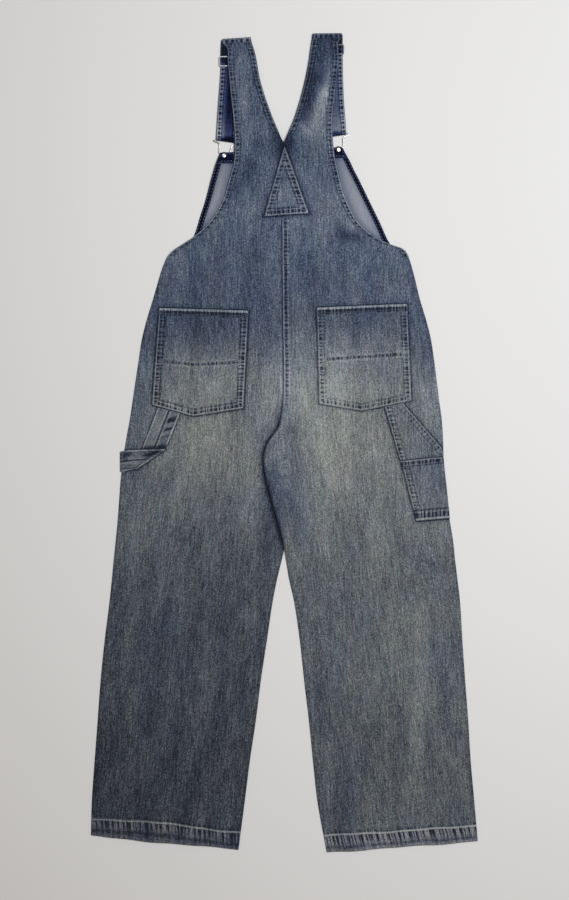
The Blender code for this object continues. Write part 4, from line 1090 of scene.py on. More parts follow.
def build_back(side, outer, inner, height, hem, top):
    """A back panel with its cut-on strap, which is turned under at the shoulder."""
    x, y, d_out, d_in, above_hem = panel_grid(outer, inner, top, hem, 50)
    sign = -1.0 if side == "left" else 1.0
    slant = top[0] - top[1]
    part = d_out / (d_out + d_in)
    top_line = top[1] + slant * (1.0 - part)
    down = top_line - y
    shape = (1.0 - part) ** 1.5
    fall = np.interp(down, [0.0, 7.0, 8.0, 16.0, 27.0], [1.0, 0.9, 0.85, 0.15, 0.0])
    flare = sign * TOP_FLARE * shape * fall
    under = np.stack([x + flare, y, height(x, y)], axis=-1)
    extra, change, seam = panel_finish(side, x, y, d_out, d_in, above_hem, top_line)
    share = edge_wall(np.minimum(d_out, d_in))
    thick = (WALL * share + extra * share) * edge_wall(above_hem)
    up = upwards(under)
    tone = fade_and_shade_at(x, y) + change
    blue = blue_at(x, y)
    fold, fold_up = shoulder_fold(under[0], (FOLD_BACK, 5.0, 3.0, 1.2, 0.4),
                                  (-72, -54, -36, -18, 0, 18, 36, 54, 72))
    count = fold.shape[0]
    across = x[0][None, :] + np.zeros((count, 1))
    fold_wall = WALL * edge_wall(np.minimum(d_out[0], d_in[0]))[None, :] + np.zeros((count, 1))
    fold_wall = fold_wall + 0.15 * ripple(across, 7.0, 4.0)
    fold_wall[0] *= 0.6
    under = np.concatenate([fold, under])
    up = np.concatenate([fold_up, up])
    thick = np.concatenate([fold_wall, thick])
    tone = with_fold(tone, count)
    blue = with_fold(blue, count)
    seam = with_fold(seam, count)
    above_hem = from_sewn_line(x, above_hem)
    hem_height = np.concatenate([np.full((count, x.shape[1]), FAR_HEM), above_hem])
    cover = np.concatenate([np.full((count, x.shape[1]), FAR_COVER), covered(side, x, y)])
    key = 1.0 if side == "left" else 2.0
    grain = grain_of(under[..., 0], under[..., 1], key)
    thing = sheet_mesh("denim_back_" + side, under, up, thick, tone, blue, grain, DENIM,
                       seam=seam, hem=hem_height, cover=cover)
    place(thing, ("back_" + side,))
    return thing, under


def front_rows(outer, inner, hem):
    """Grid of a front panel: x, y and the distances from its edges."""
    v = np.concatenate([np.arange(338.0, 44.0, -9.0), np.arange(42.0, -46.0, -2.5),
                        np.arange(-50.0, hem[1] + 12, -9.0), [hem[1] + 6, hem[1] + 2, hem[1]]])
    y_out = v + (hem[0] - hem[1]) * (1.0 - ease(v, hem[1], hem[1] + 150))
    x_out = curve_at(outer, y_out)
    x_in = curve_at(inner, v)
    edge = np.array([0.0, 0.6, 1.8, 6.0])
    width = np.hypot(x_in - x_out, v - y_out)[:, None]
    first = edge[None, :] / width
    centre = 6.0 / width + (1.0 - 12.0 / width) * np.linspace(0.0, 1.0, 32)[1:-1][None, :]
    parts = np.concatenate([first, centre, (1.0 - first)[:, ::-1]], axis=1)
    x = x_out[:, None] + (x_in - x_out)[:, None] * parts
    y = y_out[:, None] + (v - y_out)[:, None] * parts
    return x, y, np.minimum(parts, 1.0 - parts) * width


def build_front(side, outer, inner, height, hem):
    """A front leg panel, flat on the floor under the back."""
    x, y, edge = front_rows(outer, inner, hem)
    under = np.stack([x, y, height(x, y)], axis=-1)
    up = upwards(under)
    thick = WALL * edge_wall(edge)
    # A little darker overall, and painted shade at the edges where the cloth turns down.
    tone = fade_and_shade_at(x, y) - 0.02 - 0.08 * bump(edge, 0.0, 2.4)
    key = 3.0 if side == "left" else 4.0
    thing = sheet_mesh("denim_front_" + side, under, up, thick, tone, blue_at(x, y),
                       grain_of(x, y, key), DENIM)
    place(thing, ("front_leg_" + side,))
    return thing, under


def flat_piece(name, x, y, z, thick, tone, blue, key, material, nodes, seam=None, cover=None):
    """A piece whose grid lies over its support."""
    under = np.stack([x, y, z], axis=-1)
    up = upwards(under)
    grain = np.stack([x, y, np.full(x.shape, 50.0 * key)], axis=-1)
    thing = sheet_mesh(name, under, up, thick, tone, blue, grain, material, seam=seam, cover=cover)
    place(thing, nodes)
    return thing, under


def build_bib():
    """The front bib, seen from its wrong side in the armholes."""
    v = np.arange(528.0, 325.0, -3.0)
    y_right = v + 10.0 * ease(v, 500, 528)
    x_left = curve_at(BIB_LEFT, v)
    x_right = curve_at(BIB_RIGHT, y_right)
    parts = np.linspace(0.0, 1.0, 90)[None, :]
    x = x_left[:, None] + (x_right - x_left)[:, None] * parts
    y = v[:, None] + (y_right - v)[:, None] * parts
    edge = np.minimum(parts, 1.0 - parts) * (x_right - x_left)[:, None]
    thick = WALL * edge_wall(edge)
    tone = 0.80 + 0.03 * np.sin(y / 31.0) + 0.03 * np.sin(x / 23.0 + y / 60.0)
    # Painted shade on the bib near and under the back panels' armhole edges.
    inward = np.minimum(x - curve_at(LEFT_OUTER, y), curve_at(RIGHT_OUTER, y) - x)
    tone = tone - 0.20 * ease(inward, -14.0, 0.0)
    # Distance from the facings, which sets the painted shadow beside them.
    cover = np.minimum(edge - 10.0, 527.4 - y - FACING_TOP_WIDTH + 10.0 * ease(x, -117, 104)) + 1.2
    return flat_piece("bib_wrong_side", x, y, bib_under(x, y), thick, tone, np.full(x.shape, 0.9), 6.0,
                      INSIDE, ("front_bib",), cover=cover)


def build_facings():
    """Dark bands sewn along the bib's top and side edges."""
    made = []
    across = np.linspace(0.0, 1.0, 110)
    down = np.linspace(0.0, 1.0, 16)[:, None]
    x = (-117.0 + 221.6 * across) * (1 - down) + (-123.0 + 236.0 * across) * down
    y = (527.4 + 10.0 * across) * (1 - down) + (508.5 + 10.5 * across) * down
    edge = np.minimum(np.minimum(down, 1 - down) * FACING_TOP_WIDTH + 0.0 * x,
                      np.minimum(across, 1 - across) * 220.0)
    thick = WALL * edge_wall(edge) + 0.15 * ripple(x, 8.0, 2.0) * band(edge, 2, 7, 1.5)
    tone = np.full(x.shape, 0.02)
    seam = pick_seam([(edge, 9.0, x, 0.8)], x.shape)
    made.append(flat_piece("facing_top", x, y, bib_under(x, y) + LAYER, thick, tone,
                           np.ones(x.shape), 7.0, DARK_DENIM, ("bib_facing_top",), seam=seam))
    for side, table, first, sign in (("left", BIB_LEFT, 507.0, 1.0), ("right", BIB_RIGHT, 517.5, -1.0)):
        v = np.arange(first, 361.0, -2.0)
        outer = curve_at(table, v) + sign * 0.4
        parts = np.linspace(0.0, 1.0, 9)[None, :]
        x = outer[:, None] + sign * FACING_WIDTH * parts
        y = v[:, None] + 0.0 * parts
        distance = FACING_WIDTH * parts + 0.0 * x
        if sign < 0:
            x = x[:, ::-1]
            distance = distance[:, ::-1]
        edge = np.minimum(distance, FACING_WIDTH - distance)
        thick = WALL * edge_wall(edge) + 0.18 * ripple(y, 7.5, sign) * band(edge, 1.5, 5, 1.0)
        tone = np.full(x.shape, 0.0)
        seam = pick_seam([(distance, 10.4, y, 0.65)], x.shape)
        made.append(flat_piece("facing_" + side, x, y, bib_under(x, y) + LAYER, thick, tone,
                               np.ones(x.shape), 8.0 + sign, DARK_DENIM,
                               ("bib_facing_" + side,), seam=seam))
    return made


def pocket_grid(corners):
    """Grid of a five-cornered pocket: x, y, and distances from the top, sides and bottom."""
    top_left, top_right, low_right, tip, low_left = [np.array(p, float) for p in corners]
    split = (tip[0] - low_left[0]) / (low_right[0] - low_left[0])
    width = np.linalg.norm(top_right - top_left)
    length = np.linalg.norm(top_left - low_left)
    close = np.array([0.0, 0.6, 1.8, 3.0, 4.4, 6.0, 7.8, 9.4, 11.2])
    parts = np.concatenate([close / width, np.linspace(13.0 / width, 1 - 13.0 / width, 90),
                            1 - close[::-1] / width])
    downs = np.concatenate([close / length, np.linspace(13.0 / length, 1 - 13.0 / length, 96),
                            1 - close[::-1] / length])
    high = top_left[None, :] + (top_right - top_left)[None, :] * parts[:, None]
    left_part = np.clip(parts / split, 0, 1)[:, None]
    right_part = np.clip((parts - split) / (1 - split), 0, 1)[:, None]
    low = np.where(parts[:, None] <= split, low_left + (tip - low_left) * left_part,
                   tip + (low_right - tip) * right_part)
    grid = high[None] + (low - high)[None] * downs[:, None, None]
    run = np.linalg.norm(low - high, axis=1)[None, :]
    d_top = downs[:, None] * run
    d_low = (1 - downs)[:, None] * run
    d_side = np.minimum(parts, 1 - parts)[None, :] * width + 0.0 * d_top
    return grid[..., 0], grid[..., 1], d_top, d_low, d_side


def build_pocket(side, corners, cross, height, spots, key):
    """A back pocket with a turned top edge and a sewn line across it."""
    x, y, d_top, d_low, d_side = pocket_grid(corners)
    edge = np.minimum(np.minimum(d_top, d_low), d_side)
    sewn = np.minimum(d_low, d_side)
    gap, along = line_distance(cross, x, y)
    rim_run = np.where(d_low < d_side, x, y)
    thick = WALL * edge_wall(edge)
    hem = 1.0 - ease(d_top, POCKET_HEM - 0.6, POCKET_HEM + 1.0)
    thick = thick + TURNED * hem * edge_wall(edge) + 0.22 * ripple(x, 8.5, key) * band(d_top, 2.5, 9.5, 2)
    thick = thick + 0.28 * ripple(rim_run, 8.0, key + 1.0) * band(sewn, 1.5, 6.5, 1.5)
    thick = thick + 0.16 * ripple(along, 9.0, key + 2.0) * (1 - ease(gap, 2, 5))
    tone = add_spots(fade_and_shade_at(x, y) + 0.02, x, y, spots)
    tone = tone + 0.12 * bump(gap, 4.6, 2.4)
    top_band = 1.0 - ease(d_top, 13.6, 14.0)
    seam = pick_seam([(deep_notches(d_top, 13.4), 13.4, x + 100.0 * key, 1.8)], x.shape)
    sides = pick_seam([(sewn, 12.4, rim_run + 300.0 * key, 0.95 if side == "left" else 0.7)], x.shape)
    if side == "left":
        bar = bump(line_distance(((-216.0, 73.0), (-187.0, 62.5)), x, y)[0], 0.0, 2.2)
        tone = tone + 0.34 * bar
        sides = sides * np.stack([np.ones(x.shape), np.ones(x.shape), 1.0 - 0.8 * bar], axis=-1)
    line = np.stack([0.52 + 0.05 * gap, along + 70.0 * key, 0.72 * (1.0 - ease(gap, 1.9, 3.2))], axis=-1)
    sides = np.where(((gap < 4.0) & (sewn > 12.4))[..., None], line, sides)
    seam = np.where((top_band > 0.5)[..., None] & (sewn > 1.2)[..., None], seam, sides)
    z = height(x, y) + LAYER
    return flat_piece("pocket_" + side, x, y, z, thick, tone, blue_at(x, y), 10.0 + key, DENIM,
                      ("back_pocket_" + side,), seam=seam)


def resample_rows(table, count):
    """Evenly spaced rows read between the rows of a four-column table."""
    rows = np.array(table, float)
    run = rows[:, 1] + rows[:, 3]
    at = np.linspace(run[0], run[-1], count)
    return np.stack([np.interp(-at, -run, rows[:, k]) for k in range(4)], axis=1)


def build_tool_pocket():
    """Two pieces of the tool pocket on the right leg; the lower one has turned edges."""
    made = []
    for name, table, count, key in (("upper", TOOL_UPPER, 66, 21.0), ("lower", TOOL_LOWER, 76, 22.0)):
        rows = resample_rows(table, count)
        close = np.array([0.0, 0.012, 0.03, 0.055, 0.085, 0.115, 0.15])
        parts = np.concatenate([close, np.linspace(0.18, 0.82, 40), 1 - close[::-1]])[None, :]
        x = rows[:, 0:1] + (rows[:, 2:3] - rows[:, 0:1]) * parts
        y = rows[:, 1:2] + (rows[:, 3:4] - rows[:, 1:2]) * parts
        width = np.hypot(rows[:, 2] - rows[:, 0], rows[:, 3] - rows[:, 1])[:, None]
        d_back = parts * width
        d_front = (1 - parts) * width
        d_top = (y[:1] - y) + 0.0 * parts
        d_low = y - y[-1:]
        edge = np.minimum(np.minimum(d_back, d_front), np.minimum(d_top, d_low))
        thick = WALL * edge_wall(edge)
        thick = thick + 0.25 * ripple(y, 8.0, key) * band(d_back, 1.5, 9.0, 1.5)
        tone = fade_and_shade_at(x, y) - (0.05 if name == "upper" else 0.02)
        choices = [(double_line(d_back, TOOL_BAND), TOOL_BAND, y, 0.85)]
        if name == "upper":
            slant, run = line_distance(((215.7, 73.3), (238.0, 48.0), (262.0, 20.5), (286.0, -7.0)), x, y)
            choices = [(double_line(slant, 12.0), 12.0, run, 0.65),
                       (double_line(d_back, TOOL_BAND), TOOL_BAND, y, 0.8)]
            tone = tone - 0.10 * bump(d_low, 0.0, 5.0)
        else:
            turned = 1.0 - ease(d_top, 11.0, 12.4) * ease(d_low, 19.2, 20.6)
            thick = thick + TURNED * turned * edge_wall(edge)
            thick = thick + 0.28 * ripple(x, 8.0, key) * band(d_low, 3, 17, 2)
            second = d_back - 14.0
            tone = tone + 0.10 * bump(second, 2.4, 2.0) - 0.14 * bump(second, 5.0, 2.6)
        seam = pick_seam(choices, x.shape)
        if name == "lower":
            top_seam = pick_seam([(d_top, 11.6, x, 1.0)], x.shape)
            low_seam = pick_seam([(d_low, 19.6, x + 40.0, 1.1)], x.shape)
            seam = np.where((d_top < 13.0)[..., None], top_seam, seam)
            seam = np.where((d_low < 22.0)[..., None], low_seam, seam)
        z = back_right_under(x, y) + LAYER
        made.append(flat_piece("tool_denim_" + name, x, y, z, thick, tone, 0.16 + 0.7 * blue_at(x, y), key,
                               DENIM, ("tool_pocket_" + name,), seam=seam))
    return made


def strip_mesh(name, middle, wall, tone, blue, grain, material, seam=None):
    """A closed strip round its middle surface, its wall laid along the surface's own normals."""
    along = np.gradient(middle, axis=0)
    across = np.gradient(middle, axis=1)
    normal = np.cross(across, along)
    normal = normal / np.maximum(np.linalg.norm(normal, axis=-1, keepdims=True), 1e-9)
    under = middle - normal * wall[..., None] / 2
    return sheet_mesh(name, under, normal, wall, tone, blue, grain, material, seam=seam)


# Grid of the hammer loop: rows of its lower run, the row at the fold, and points across
LOOP_UNDER_ROWS = 60
LOOP_FOLD_ROW = 77
LOOP_LANES = 30


def loop_row(x, y, lift):
    """A row of the hammer loop's middle surface, laid on the left back panel."""
    return np.stack([x, y, back_left_under(x, y) + LAYER + WALL / 2 + lift], axis=-1)


def build_hammer_loop():
    """The folded strip as one surface: the lower run, the diagonal fold and the upper run."""
    parts = np.linspace(0.0, 1.0, 5)
    rows = []
    for ax, ay, bx, by, lift in LOOP_UNDER:
        rows.append(loop_row(ax + (bx - ax) * parts, ay + (by - ay) * parts, lift))
    low = rows[-1]
    out = np.array([0.56, -0.83, 0.0])
    radius = LAYER / 2
    for turn in (-60.0, -30.0, 0.0, 30.0, 60.0):
        angle = math.radians(turn)
        row = low + out * radius * math.cos(angle)
        row[:, 2] = low[:, 2] + radius + radius * math.sin(angle)
        rows.append(row)
    for ax, ay, bx, by, lift in LOOP_OVER:
        rows.append(loop_row(ax + (bx - ax) * parts, ay + (by - ay) * parts, lift))
    for ax, ay, bx, by, height in LOOP_END:
        x = ax + (bx - ax) * parts
        y = ay + (by - ay) * parts
        rows.append(np.stack([x, y, np.full(len(x), height)], axis=-1))
    coarse = np.array(rows)
    turns = np.arange(len(rows), dtype=float)
    fine = np.concatenate([np.linspace(0.0, 4.0, LOOP_UNDER_ROWS), np.linspace(4.0, 10.0, 37)[1:],
                           np.linspace(10.0, turns[-1], 50)[1:]])
    lane = np.linspace(0.0, 4.0, LOOP_LANES)
    grid = np.zeros((len(fine), len(lane), 3))
    for axis in range(3):
        first = np.array([np.interp(fine, turns, coarse[:, k, axis]) for k in range(5)]).T
        grid[..., axis] = np.array([np.interp(lane, np.arange(5.0), row) for row in first])
    steps = np.linalg.norm(np.diff(grid[:, LOOP_LANES // 2], axis=0), axis=1)
    run = np.concatenate([[0.0], np.cumsum(steps)])
    width = np.linalg.norm(grid[:, -1] - grid[:, 0], axis=1)[:, None]
    across = lane[None, :] / 4.0 * width
    edge = np.minimum(across, width - across)
    run = run[:, None] + 0.0 * across
    wave = ripple(run, 8.0, 31.0)
    wall = WALL * edge_wall(edge) * (1.0 + 0.10 * wave * band(edge, 2, 8, 2))
    centre = np.abs(across - 0.5 * width)
    patch = (0.6 + 0.5 * np.sin(run / 14.0)) * ripple(run + 0.5 * across, 21.0, 3.0) + 0.15
    patch = np.clip(patch, 0.0, 1.0) * ease(across, 0.5 * width, 0.6 * width)
    tone = 0.56 + 0.08 * np.sin(run / 19.0) - 0.60 * patch * band(edge, 5, 16, 2)
    tone = tone - 0.60 * bump(centre, 0.0, 2.2) + 0.16 * bump(centre, 3.6, 2.2)
    tone = tone + 0.30 * bump(edge, 1.2, 2.4) - 0.12 * bump(edge, 5.0, 2.4)
    crest = run[LOOP_FOLD_ROW, 0]
    tone = tone + 0.30 * bump(run, crest, 6.0) - 0.2 * bump(run, crest + 9.0, 5.0)
    tone = add_spots(tone, grid[..., 0], grid[..., 1], LOOP_SPOTS)
    shadow = grid[..., 1] + 15.5 - 0.087 * (grid[..., 0] + 299.4)
    tone = tone - 0.60 * bump(shadow, 1.0, 8.0) * (np.arange(len(fine)) < LOOP_UNDER_ROWS)[:, None]
    grain = np.stack([across, run, np.full(across.shape, 900.0)], axis=-1)
    thing = strip_mesh("hammer_loop_strip", grid, wall, tone, np.full(across.shape, 0.35), grain, DENIM)
    place(thing, ("hammer_loop",))
    return thing, grid


def build_patch():
    """The triangle sewn over the crossing of the two back straps."""
    apex, left, right = [np.array(p, float) for p in PATCH]
    downs = np.concatenate([np.linspace(0.012, 0.9, 74), np.linspace(0.9, 1.0, 16)[1:]])
    start = apex + (left - apex) * downs[:, None]
    end = apex + (right - apex) * downs[:, None]
    close = np.array([0.0, 0.02, 0.05, 0.08, 0.12, 0.16, 0.2])
    parts = np.concatenate([close, np.linspace(0.22, 0.78, 34), 1 - close[::-1]])
    grid = start[:, None, :] + (end - start)[:, None, :] * parts[None, :, None]
    x = grid[..., 0]
    y = grid[..., 1]
    d_left, d_right, d_low = [line_distance(ends, x, y)[0]
                              for ends in ((apex, left), (apex, right), (left, right))]
    side = np.minimum(d_left, d_right)
    edge = np.minimum(side, d_low)
    run = np.where(side < d_low, y, x)
    thick = WALL * edge_wall(edge) + 0.25 * ripple(run, 8.0, 41.0) * band(edge, 1.5, 8.5, 1.5)
    tone = fade_and_shade_at(x, y) * 0.6 + 0.26
    share = 0.95 - 0.3 * (d_left < np.minimum(d_right, d_low))
    seam = pick_seam([(edge, 12.6, run, share)], x.shape)
    tone = add_spots(tone, x, y, PATCH_SPOTS)
    z = back_top(x, y) + GAP + 0.1
    return flat_piece("crossing_patch", x, y, z, thick, tone, np.full(x.shape, 0.9), 42.0, DENIM,
                      ("back_triangle",), seam=seam)


def front_strap_path(table, buckle):
    """Middle line of a front strap: down from the shoulder, through the slide, round the buckle."""
    centre, top, _ = table
    bar_y = buckle[1]
    path = [(top, FOLD_Z), (top - 3.0, FOLD_Z), (top - 8.2, FOLD_Z)]
    if top - 8.2 > centre + 24:
        path.append((centre + 20.0, 3.2))
    path += [(centre + y, z) for y, z in SLIDE_PATH]
    ride_at = WIRE_RADIUS + 1.5 * GAP + STRAP_WALL / 2
    for part in (0.12, 0.3, 0.5, 0.7, 0.88):
        path.append((centre - 9.5 + (bar_y - centre + 9.5) * part, 1.8 + 3.7 * float(ease(part, 0, 1))))
    path.append((bar_y, WIRE_Z + ride_at))
    for angle in (120.0, 150.0, 180.0, 210.0, 240.0):
        turn = math.radians(angle)
        path.append((bar_y + ride_at * math.cos(turn), WIRE_Z + ride_at * math.sin(turn)))
    path.append((bar_y, WIRE_Z - ride_at))
    for part in (0.12, 0.35, 0.65, 0.9):
        path.append((bar_y + (centre - 9.5 - bar_y) * part, 1.4 - 0.9 * float(ease(part, 0, 1))))
    path += [(centre + y, z) for y, z in LOOP_PATH]
    return path


def build_front_strap(side, table, buckle, key):
    """A front strap as one ribbon through its slide and round its buckle."""
    _, bar_y, tilt = buckle
    path = front_strap_path(table, buckle)
    line = np.array([(0.0, y, z) for y, z in path])
    seg = np.linalg.norm(np.diff(line, axis=0), axis=1)
    run = np.concatenate([[0.0], np.cumsum(seg)])
    places = [run[0]]
    for a, b in zip(run[:-1], run[1:]):
        count = max(1, int(math.ceil((b - a) / 2.2)))
        places += list(np.linspace(a, b, count + 1)[1:])
    places = np.array(places)
    y = np.interp(places, run, line[:, 1])
    z = np.interp(places, run, line[:, 2])
    close = np.array([0.0, 0.6, 1.8, 3.2, 5.0, 7.0, 8.4, 10.0]) / STRAP_WIDTH
    parts = np.concatenate([close, np.linspace(12.0, 26.0, 7) / STRAP_WIDTH, 1 - close[::-1]])
    half = STRAP_WIDTH / 2
    x = curve_at(table[2], y)
    turn = np.radians(tilt) * (1.0 - ease(y, bar_y + 5, bar_y + 90))
    offset = (2 * parts - 1.0)[None, :] * half
    grid = np.stack([x[:, None] + offset * np.cos(turn)[:, None],
                     y[:, None] + offset * np.sin(turn)[:, None],
                     z[:, None] + 0.0 * offset], axis=-1)
    edge = np.minimum(parts, 1 - parts)[None, :] * STRAP_WIDTH + 0.0 * grid[..., 0]
    along = places[:, None] + 0.0 * edge
    wall = STRAP_WALL * edge_wall(edge)
    # Painted shadow of the back strap's edge over the left strap's inner half; over the right strap's only
    # a little.
    inner = ease(parts if side == "left" else 1 - parts, 0.2, 0.5)[None, :] + 0.0 * edge
    tone = 0.47 - (0.48 if side == "left" else 0.06) * inner + 0.16 * band(edge, 1.0, 7.0, 1.0)
    down = ease(grid[..., 1], bar_y, bar_y + 60)
    tone = tone + 0.34 * (1 - down)
    # Painted shadow inside the shoulder fold, over the strap above its slide.
    tone = tone - 0.60 * ease(grid[..., 1], table[0] - 14, table[0] + 8)
    # Painted shade where the strap wraps round the buckle's bar.
    tone = tone - 0.60 * bump(grid[..., 1], bar_y, 9.0)
    seam = pick_seam([(edge, 8.6, along, 0.85)], edge.shape)
    grain = np.stack([edge + grid[..., 0] * 0.2, along, np.full(edge.shape, 50.0 * key)], axis=-1)
    # Greyer where the painted shadow lies above the slide.
    blue = 1.0 - 0.8 * ease(grid[..., 1], table[0] - 6, table[0] + 10)
    thing = strip_mesh("front_strap_" + side, grid, wall, tone, blue, grain, DARK_DENIM, seam=seam)
    place(thing, ("strap_front_" + side,))
    return thing, grid


def tube_mesh(name, centres, radius, sides, material):
    """A closed tube through a ring of centres that lie level."""
    centres = np.asarray(centres, float)
    ahead = np.roll(centres, -1, axis=0) - np.roll(centres, 1, axis=0)
    ahead = ahead / np.linalg.norm(ahead, axis=1, keepdims=True)
    up = np.array([0.0, 0.0, 1.0])
    side = np.cross(ahead, up)
    turn = np.linspace(0.0, 2 * math.pi, sides, endpoint=False)
    verts = centres[:, None, :] + radius * (np.cos(turn)[None, :, None] * side[:, None, :]
                                            + np.sin(turn)[None, :, None] * up)
    count = len(centres)
    faces = []
    for k in range(count):
        nxt = (k + 1) % count
        for j in range(sides):
            other = (j + 1) % sides
            faces.append((k * sides + j, k * sides + other, nxt * sides + other, nxt * sides + j))
    mesh = bpy.data.meshes.new(name)
    mesh.from_pydata((verts.reshape(-1, 3) * MM).tolist(), [], faces)
    return finish_mesh(name, mesh, material)


def closed_curve(points, steps):
    """A smooth closed curve through its points."""
    p = np.asarray(points, float)
    out = []
    for k in range(len(p)):
        a, b, c, d = p[k - 1], p[k], p[(k + 1) % len(p)], p[(k + 2) % len(p)]
        for t in np.linspace(0, 1, steps, endpoint=False):
            out.append(0.5 * (2 * b + (c - a) * t + (2 * a - 5 * b + 4 * c - d) * t * t
                              + (3 * b - a - 3 * c + d) * t ** 3))
    return np.array(out)


def build_wire(side, buckle):
    """The wire buckle: one closed bent wire with a wide head, a neck and a narrow end."""
    bar_x, bar_y, tilt = buckle
    outline = list(WIRE_HALF) + [(-x, y) for x, y in reversed(WIRE_HALF[1:-1])]
    turn = math.radians(tilt)
    points = []
    for x, y in closed_curve(outline, 5):
        across = x * math.cos(turn) - y * math.sin(turn)
        along = x * math.sin(turn) + y * math.cos(turn)
        points.append((bar_x + across, bar_y + along, WIRE_Z))
    thing = tube_mesh("wire_buckle_" + side, points, WIRE_RADIUS - 0.03, 14, SILVER)
    return place(thing, ("buckle_wire_" + side,))


def rounded_box(width, length, radius, steps):
    """Corner points of a flat rectangle with rounded corners."""
    points = []
    for cx, cy, start in ((1, 1, 0), (-1, 1, 90), (-1, -1, 180), (1, -1, 270)):
        for step in range(steps + 1):
            turn = math.radians(start + 90.0 * step / steps)
            points.append((cx * (width / 2 - radius) + radius * math.cos(turn),
                           cy * (length / 2 - radius) + radius * math.sin(turn)))
    return points


def build_slide(side, table):
    """The strap slide: a flat plate with two slots and eased edges."""
    centre, _, lines = table
    middle = float(curve_at(lines, centre))
    slot_length = (SLIDE_LENGTH - 3 * SLIDE_BAR) / 2
    shift = (slot_length + SLIDE_BAR) / 2
    name = "slide_" + side
    curve = bpy.data.curves.new(name, "CURVE")
    curve.dimensions = "2D"
    curve.fill_mode = "BOTH"
    ease_by = 0.25
    outlines = [(rounded_box(SLIDE_WIDTH - 2 * ease_by, SLIDE_LENGTH - 2 * ease_by, 2.8, 6), 0.0)]
    for s in (shift, -shift):
        slot = rounded_box(STRAP_WIDTH + 1.0 + 2 * ease_by, slot_length + 2 * ease_by, 1.0, 4)
        outlines.append((slot, s))
    for points, offset in outlines:
        spline = curve.splines.new("POLY")
        spline.points.add(len(points) - 1)
        for point, (across, along) in zip(spline.points, points):
            point.co = ((middle + across) * MM, (centre + along + offset) * MM, 0.0, 1.0)
        spline.use_cyclic_u = True
    curve.extrude = ((SLIDE_Z[1] - SLIDE_Z[0]) / 2 - ease_by) * MM
    curve.bevel_depth = ease_by * MM
    curve.bevel_resolution = 2
    helper = bpy.data.objects.new(name + "_outline", curve)
    bpy.context.scene.collection.objects.link(helper)
    bpy.context.view_layer.update()
    graph = bpy.context.evaluated_depsgraph_get()
    mesh = bpy.data.meshes.new_from_object(helper.evaluated_get(graph))
    bpy.data.objects.remove(helper, do_unlink=True)
    bpy.data.curves.remove(curve)
    mesh.materials.clear()
    for vertex in mesh.vertices:
        vertex.co.z += (SLIDE_Z[0] + SLIDE_Z[1]) / 2 * MM
    thing = finish_mesh(name, mesh, PEWTER if side == "left" else STEEL, angle=35)
    return place(thing, ("strap_slide_" + side,))


def turned_mesh(name, profile, x, y, steps, material):
    """A round metal piece turned from its profile: radius, height; both ends on the axis."""
    turn = np.linspace(0, 2 * math.pi, steps, endpoint=False)
    verts = [(x, y, profile[0][1])]
    for radius, height in profile[1:-1]:
        verts += [(x + radius * math.cos(t), y + radius * math.sin(t), height) for t in turn]
    verts.append((x, y, profile[-1][1]))
    rings = len(profile) - 2
    faces = []
    for j in range(steps):
        other = (j + 1) % steps
        faces.append((0, 1 + other, 1 + j))
        for k in range(rings - 1):
            a = 1 + k * steps
            faces.append((a + j, a + other, a + steps + other, a + steps + j))
        a = 1 + (rings - 1) * steps
        faces.append((a + j, a + other, len(verts) - 1))
    mesh = bpy.data.meshes.new(name)
    mesh.from_pydata([tuple(c * MM for c in v) for v in verts], [], faces)
    return finish_mesh(name, mesh, material)


def build_button(side, buckle):
    """A bib button: cap and shank below the bib, and the rivet's head on its wrong side."""
    bar_x, bar_y, tilt = buckle
    turn = math.radians(tilt)
    x = bar_x + BUTTON_DROP * math.sin(turn)
    y = bar_y - BUTTON_DROP * math.cos(turn)
    top = BIB_LIFT - GAP
    cap = ((0.0, 0.0), (BUTTON_RADIUS - 1.4, 0.0), (BUTTON_RADIUS - 0.5, 0.2), (BUTTON_RADIUS, 0.6),
           (BUTTON_RADIUS, 1.2), (BUTTON_RADIUS - 0.3, 1.6), (BUTTON_RADIUS - 0.9, BUTTON_CAP),
           (SHANK_RADIUS + 0.2, BUTTON_CAP), (SHANK_RADIUS, BUTTON_CAP + 0.2), (SHANK_RADIUS, top),
           (0.0, top))
    thing = turned_mesh("bib_button_" + side, cap, x, y, 40, SILVER)
    place(thing, ("button_" + side,))
    low = BIB_LIFT + 2 * LAYER
    head = ((0.0, low), (RIVET_RADIUS - 0.2, low), (RIVET_RADIUS, low + 0.15),
            (RIVET_RADIUS - 0.1, low + 0.45), (RIVET_RADIUS - 0.7, low + 0.85), (2.4, low + 1.08),
            (1.9, low + 1.0), (1.2, low + 0.95), (0.6, low + 1.12), (0.0, low + 1.18))
    thing = turned_mesh("rivet_head_" + side, head, x, y, 32, SILVER)
    return place(thing, ("rivet_" + side,))


def surface_of(thing):
    """Search tree of a piece's faces, for seating stitches on it."""
    mesh = thing.data
    points = [thing.matrix_world @ v.co for v in mesh.vertices]
    return BVHTree.FromPolygons(points, [tuple(p.vertices) for p in mesh.polygons])


def offset_line(points, shift):
    """A polyline moved sideways, to its left if shift is above 0."""
    p = np.asarray(points, float)
    ahead = np.gradient(p, axis=0)
    ahead = ahead / np.maximum(np.linalg.norm(ahead, axis=1, keepdims=True), 1e-9)
    return p + shift * np.stack([-ahead[:, 1], ahead[:, 0]], axis=1)


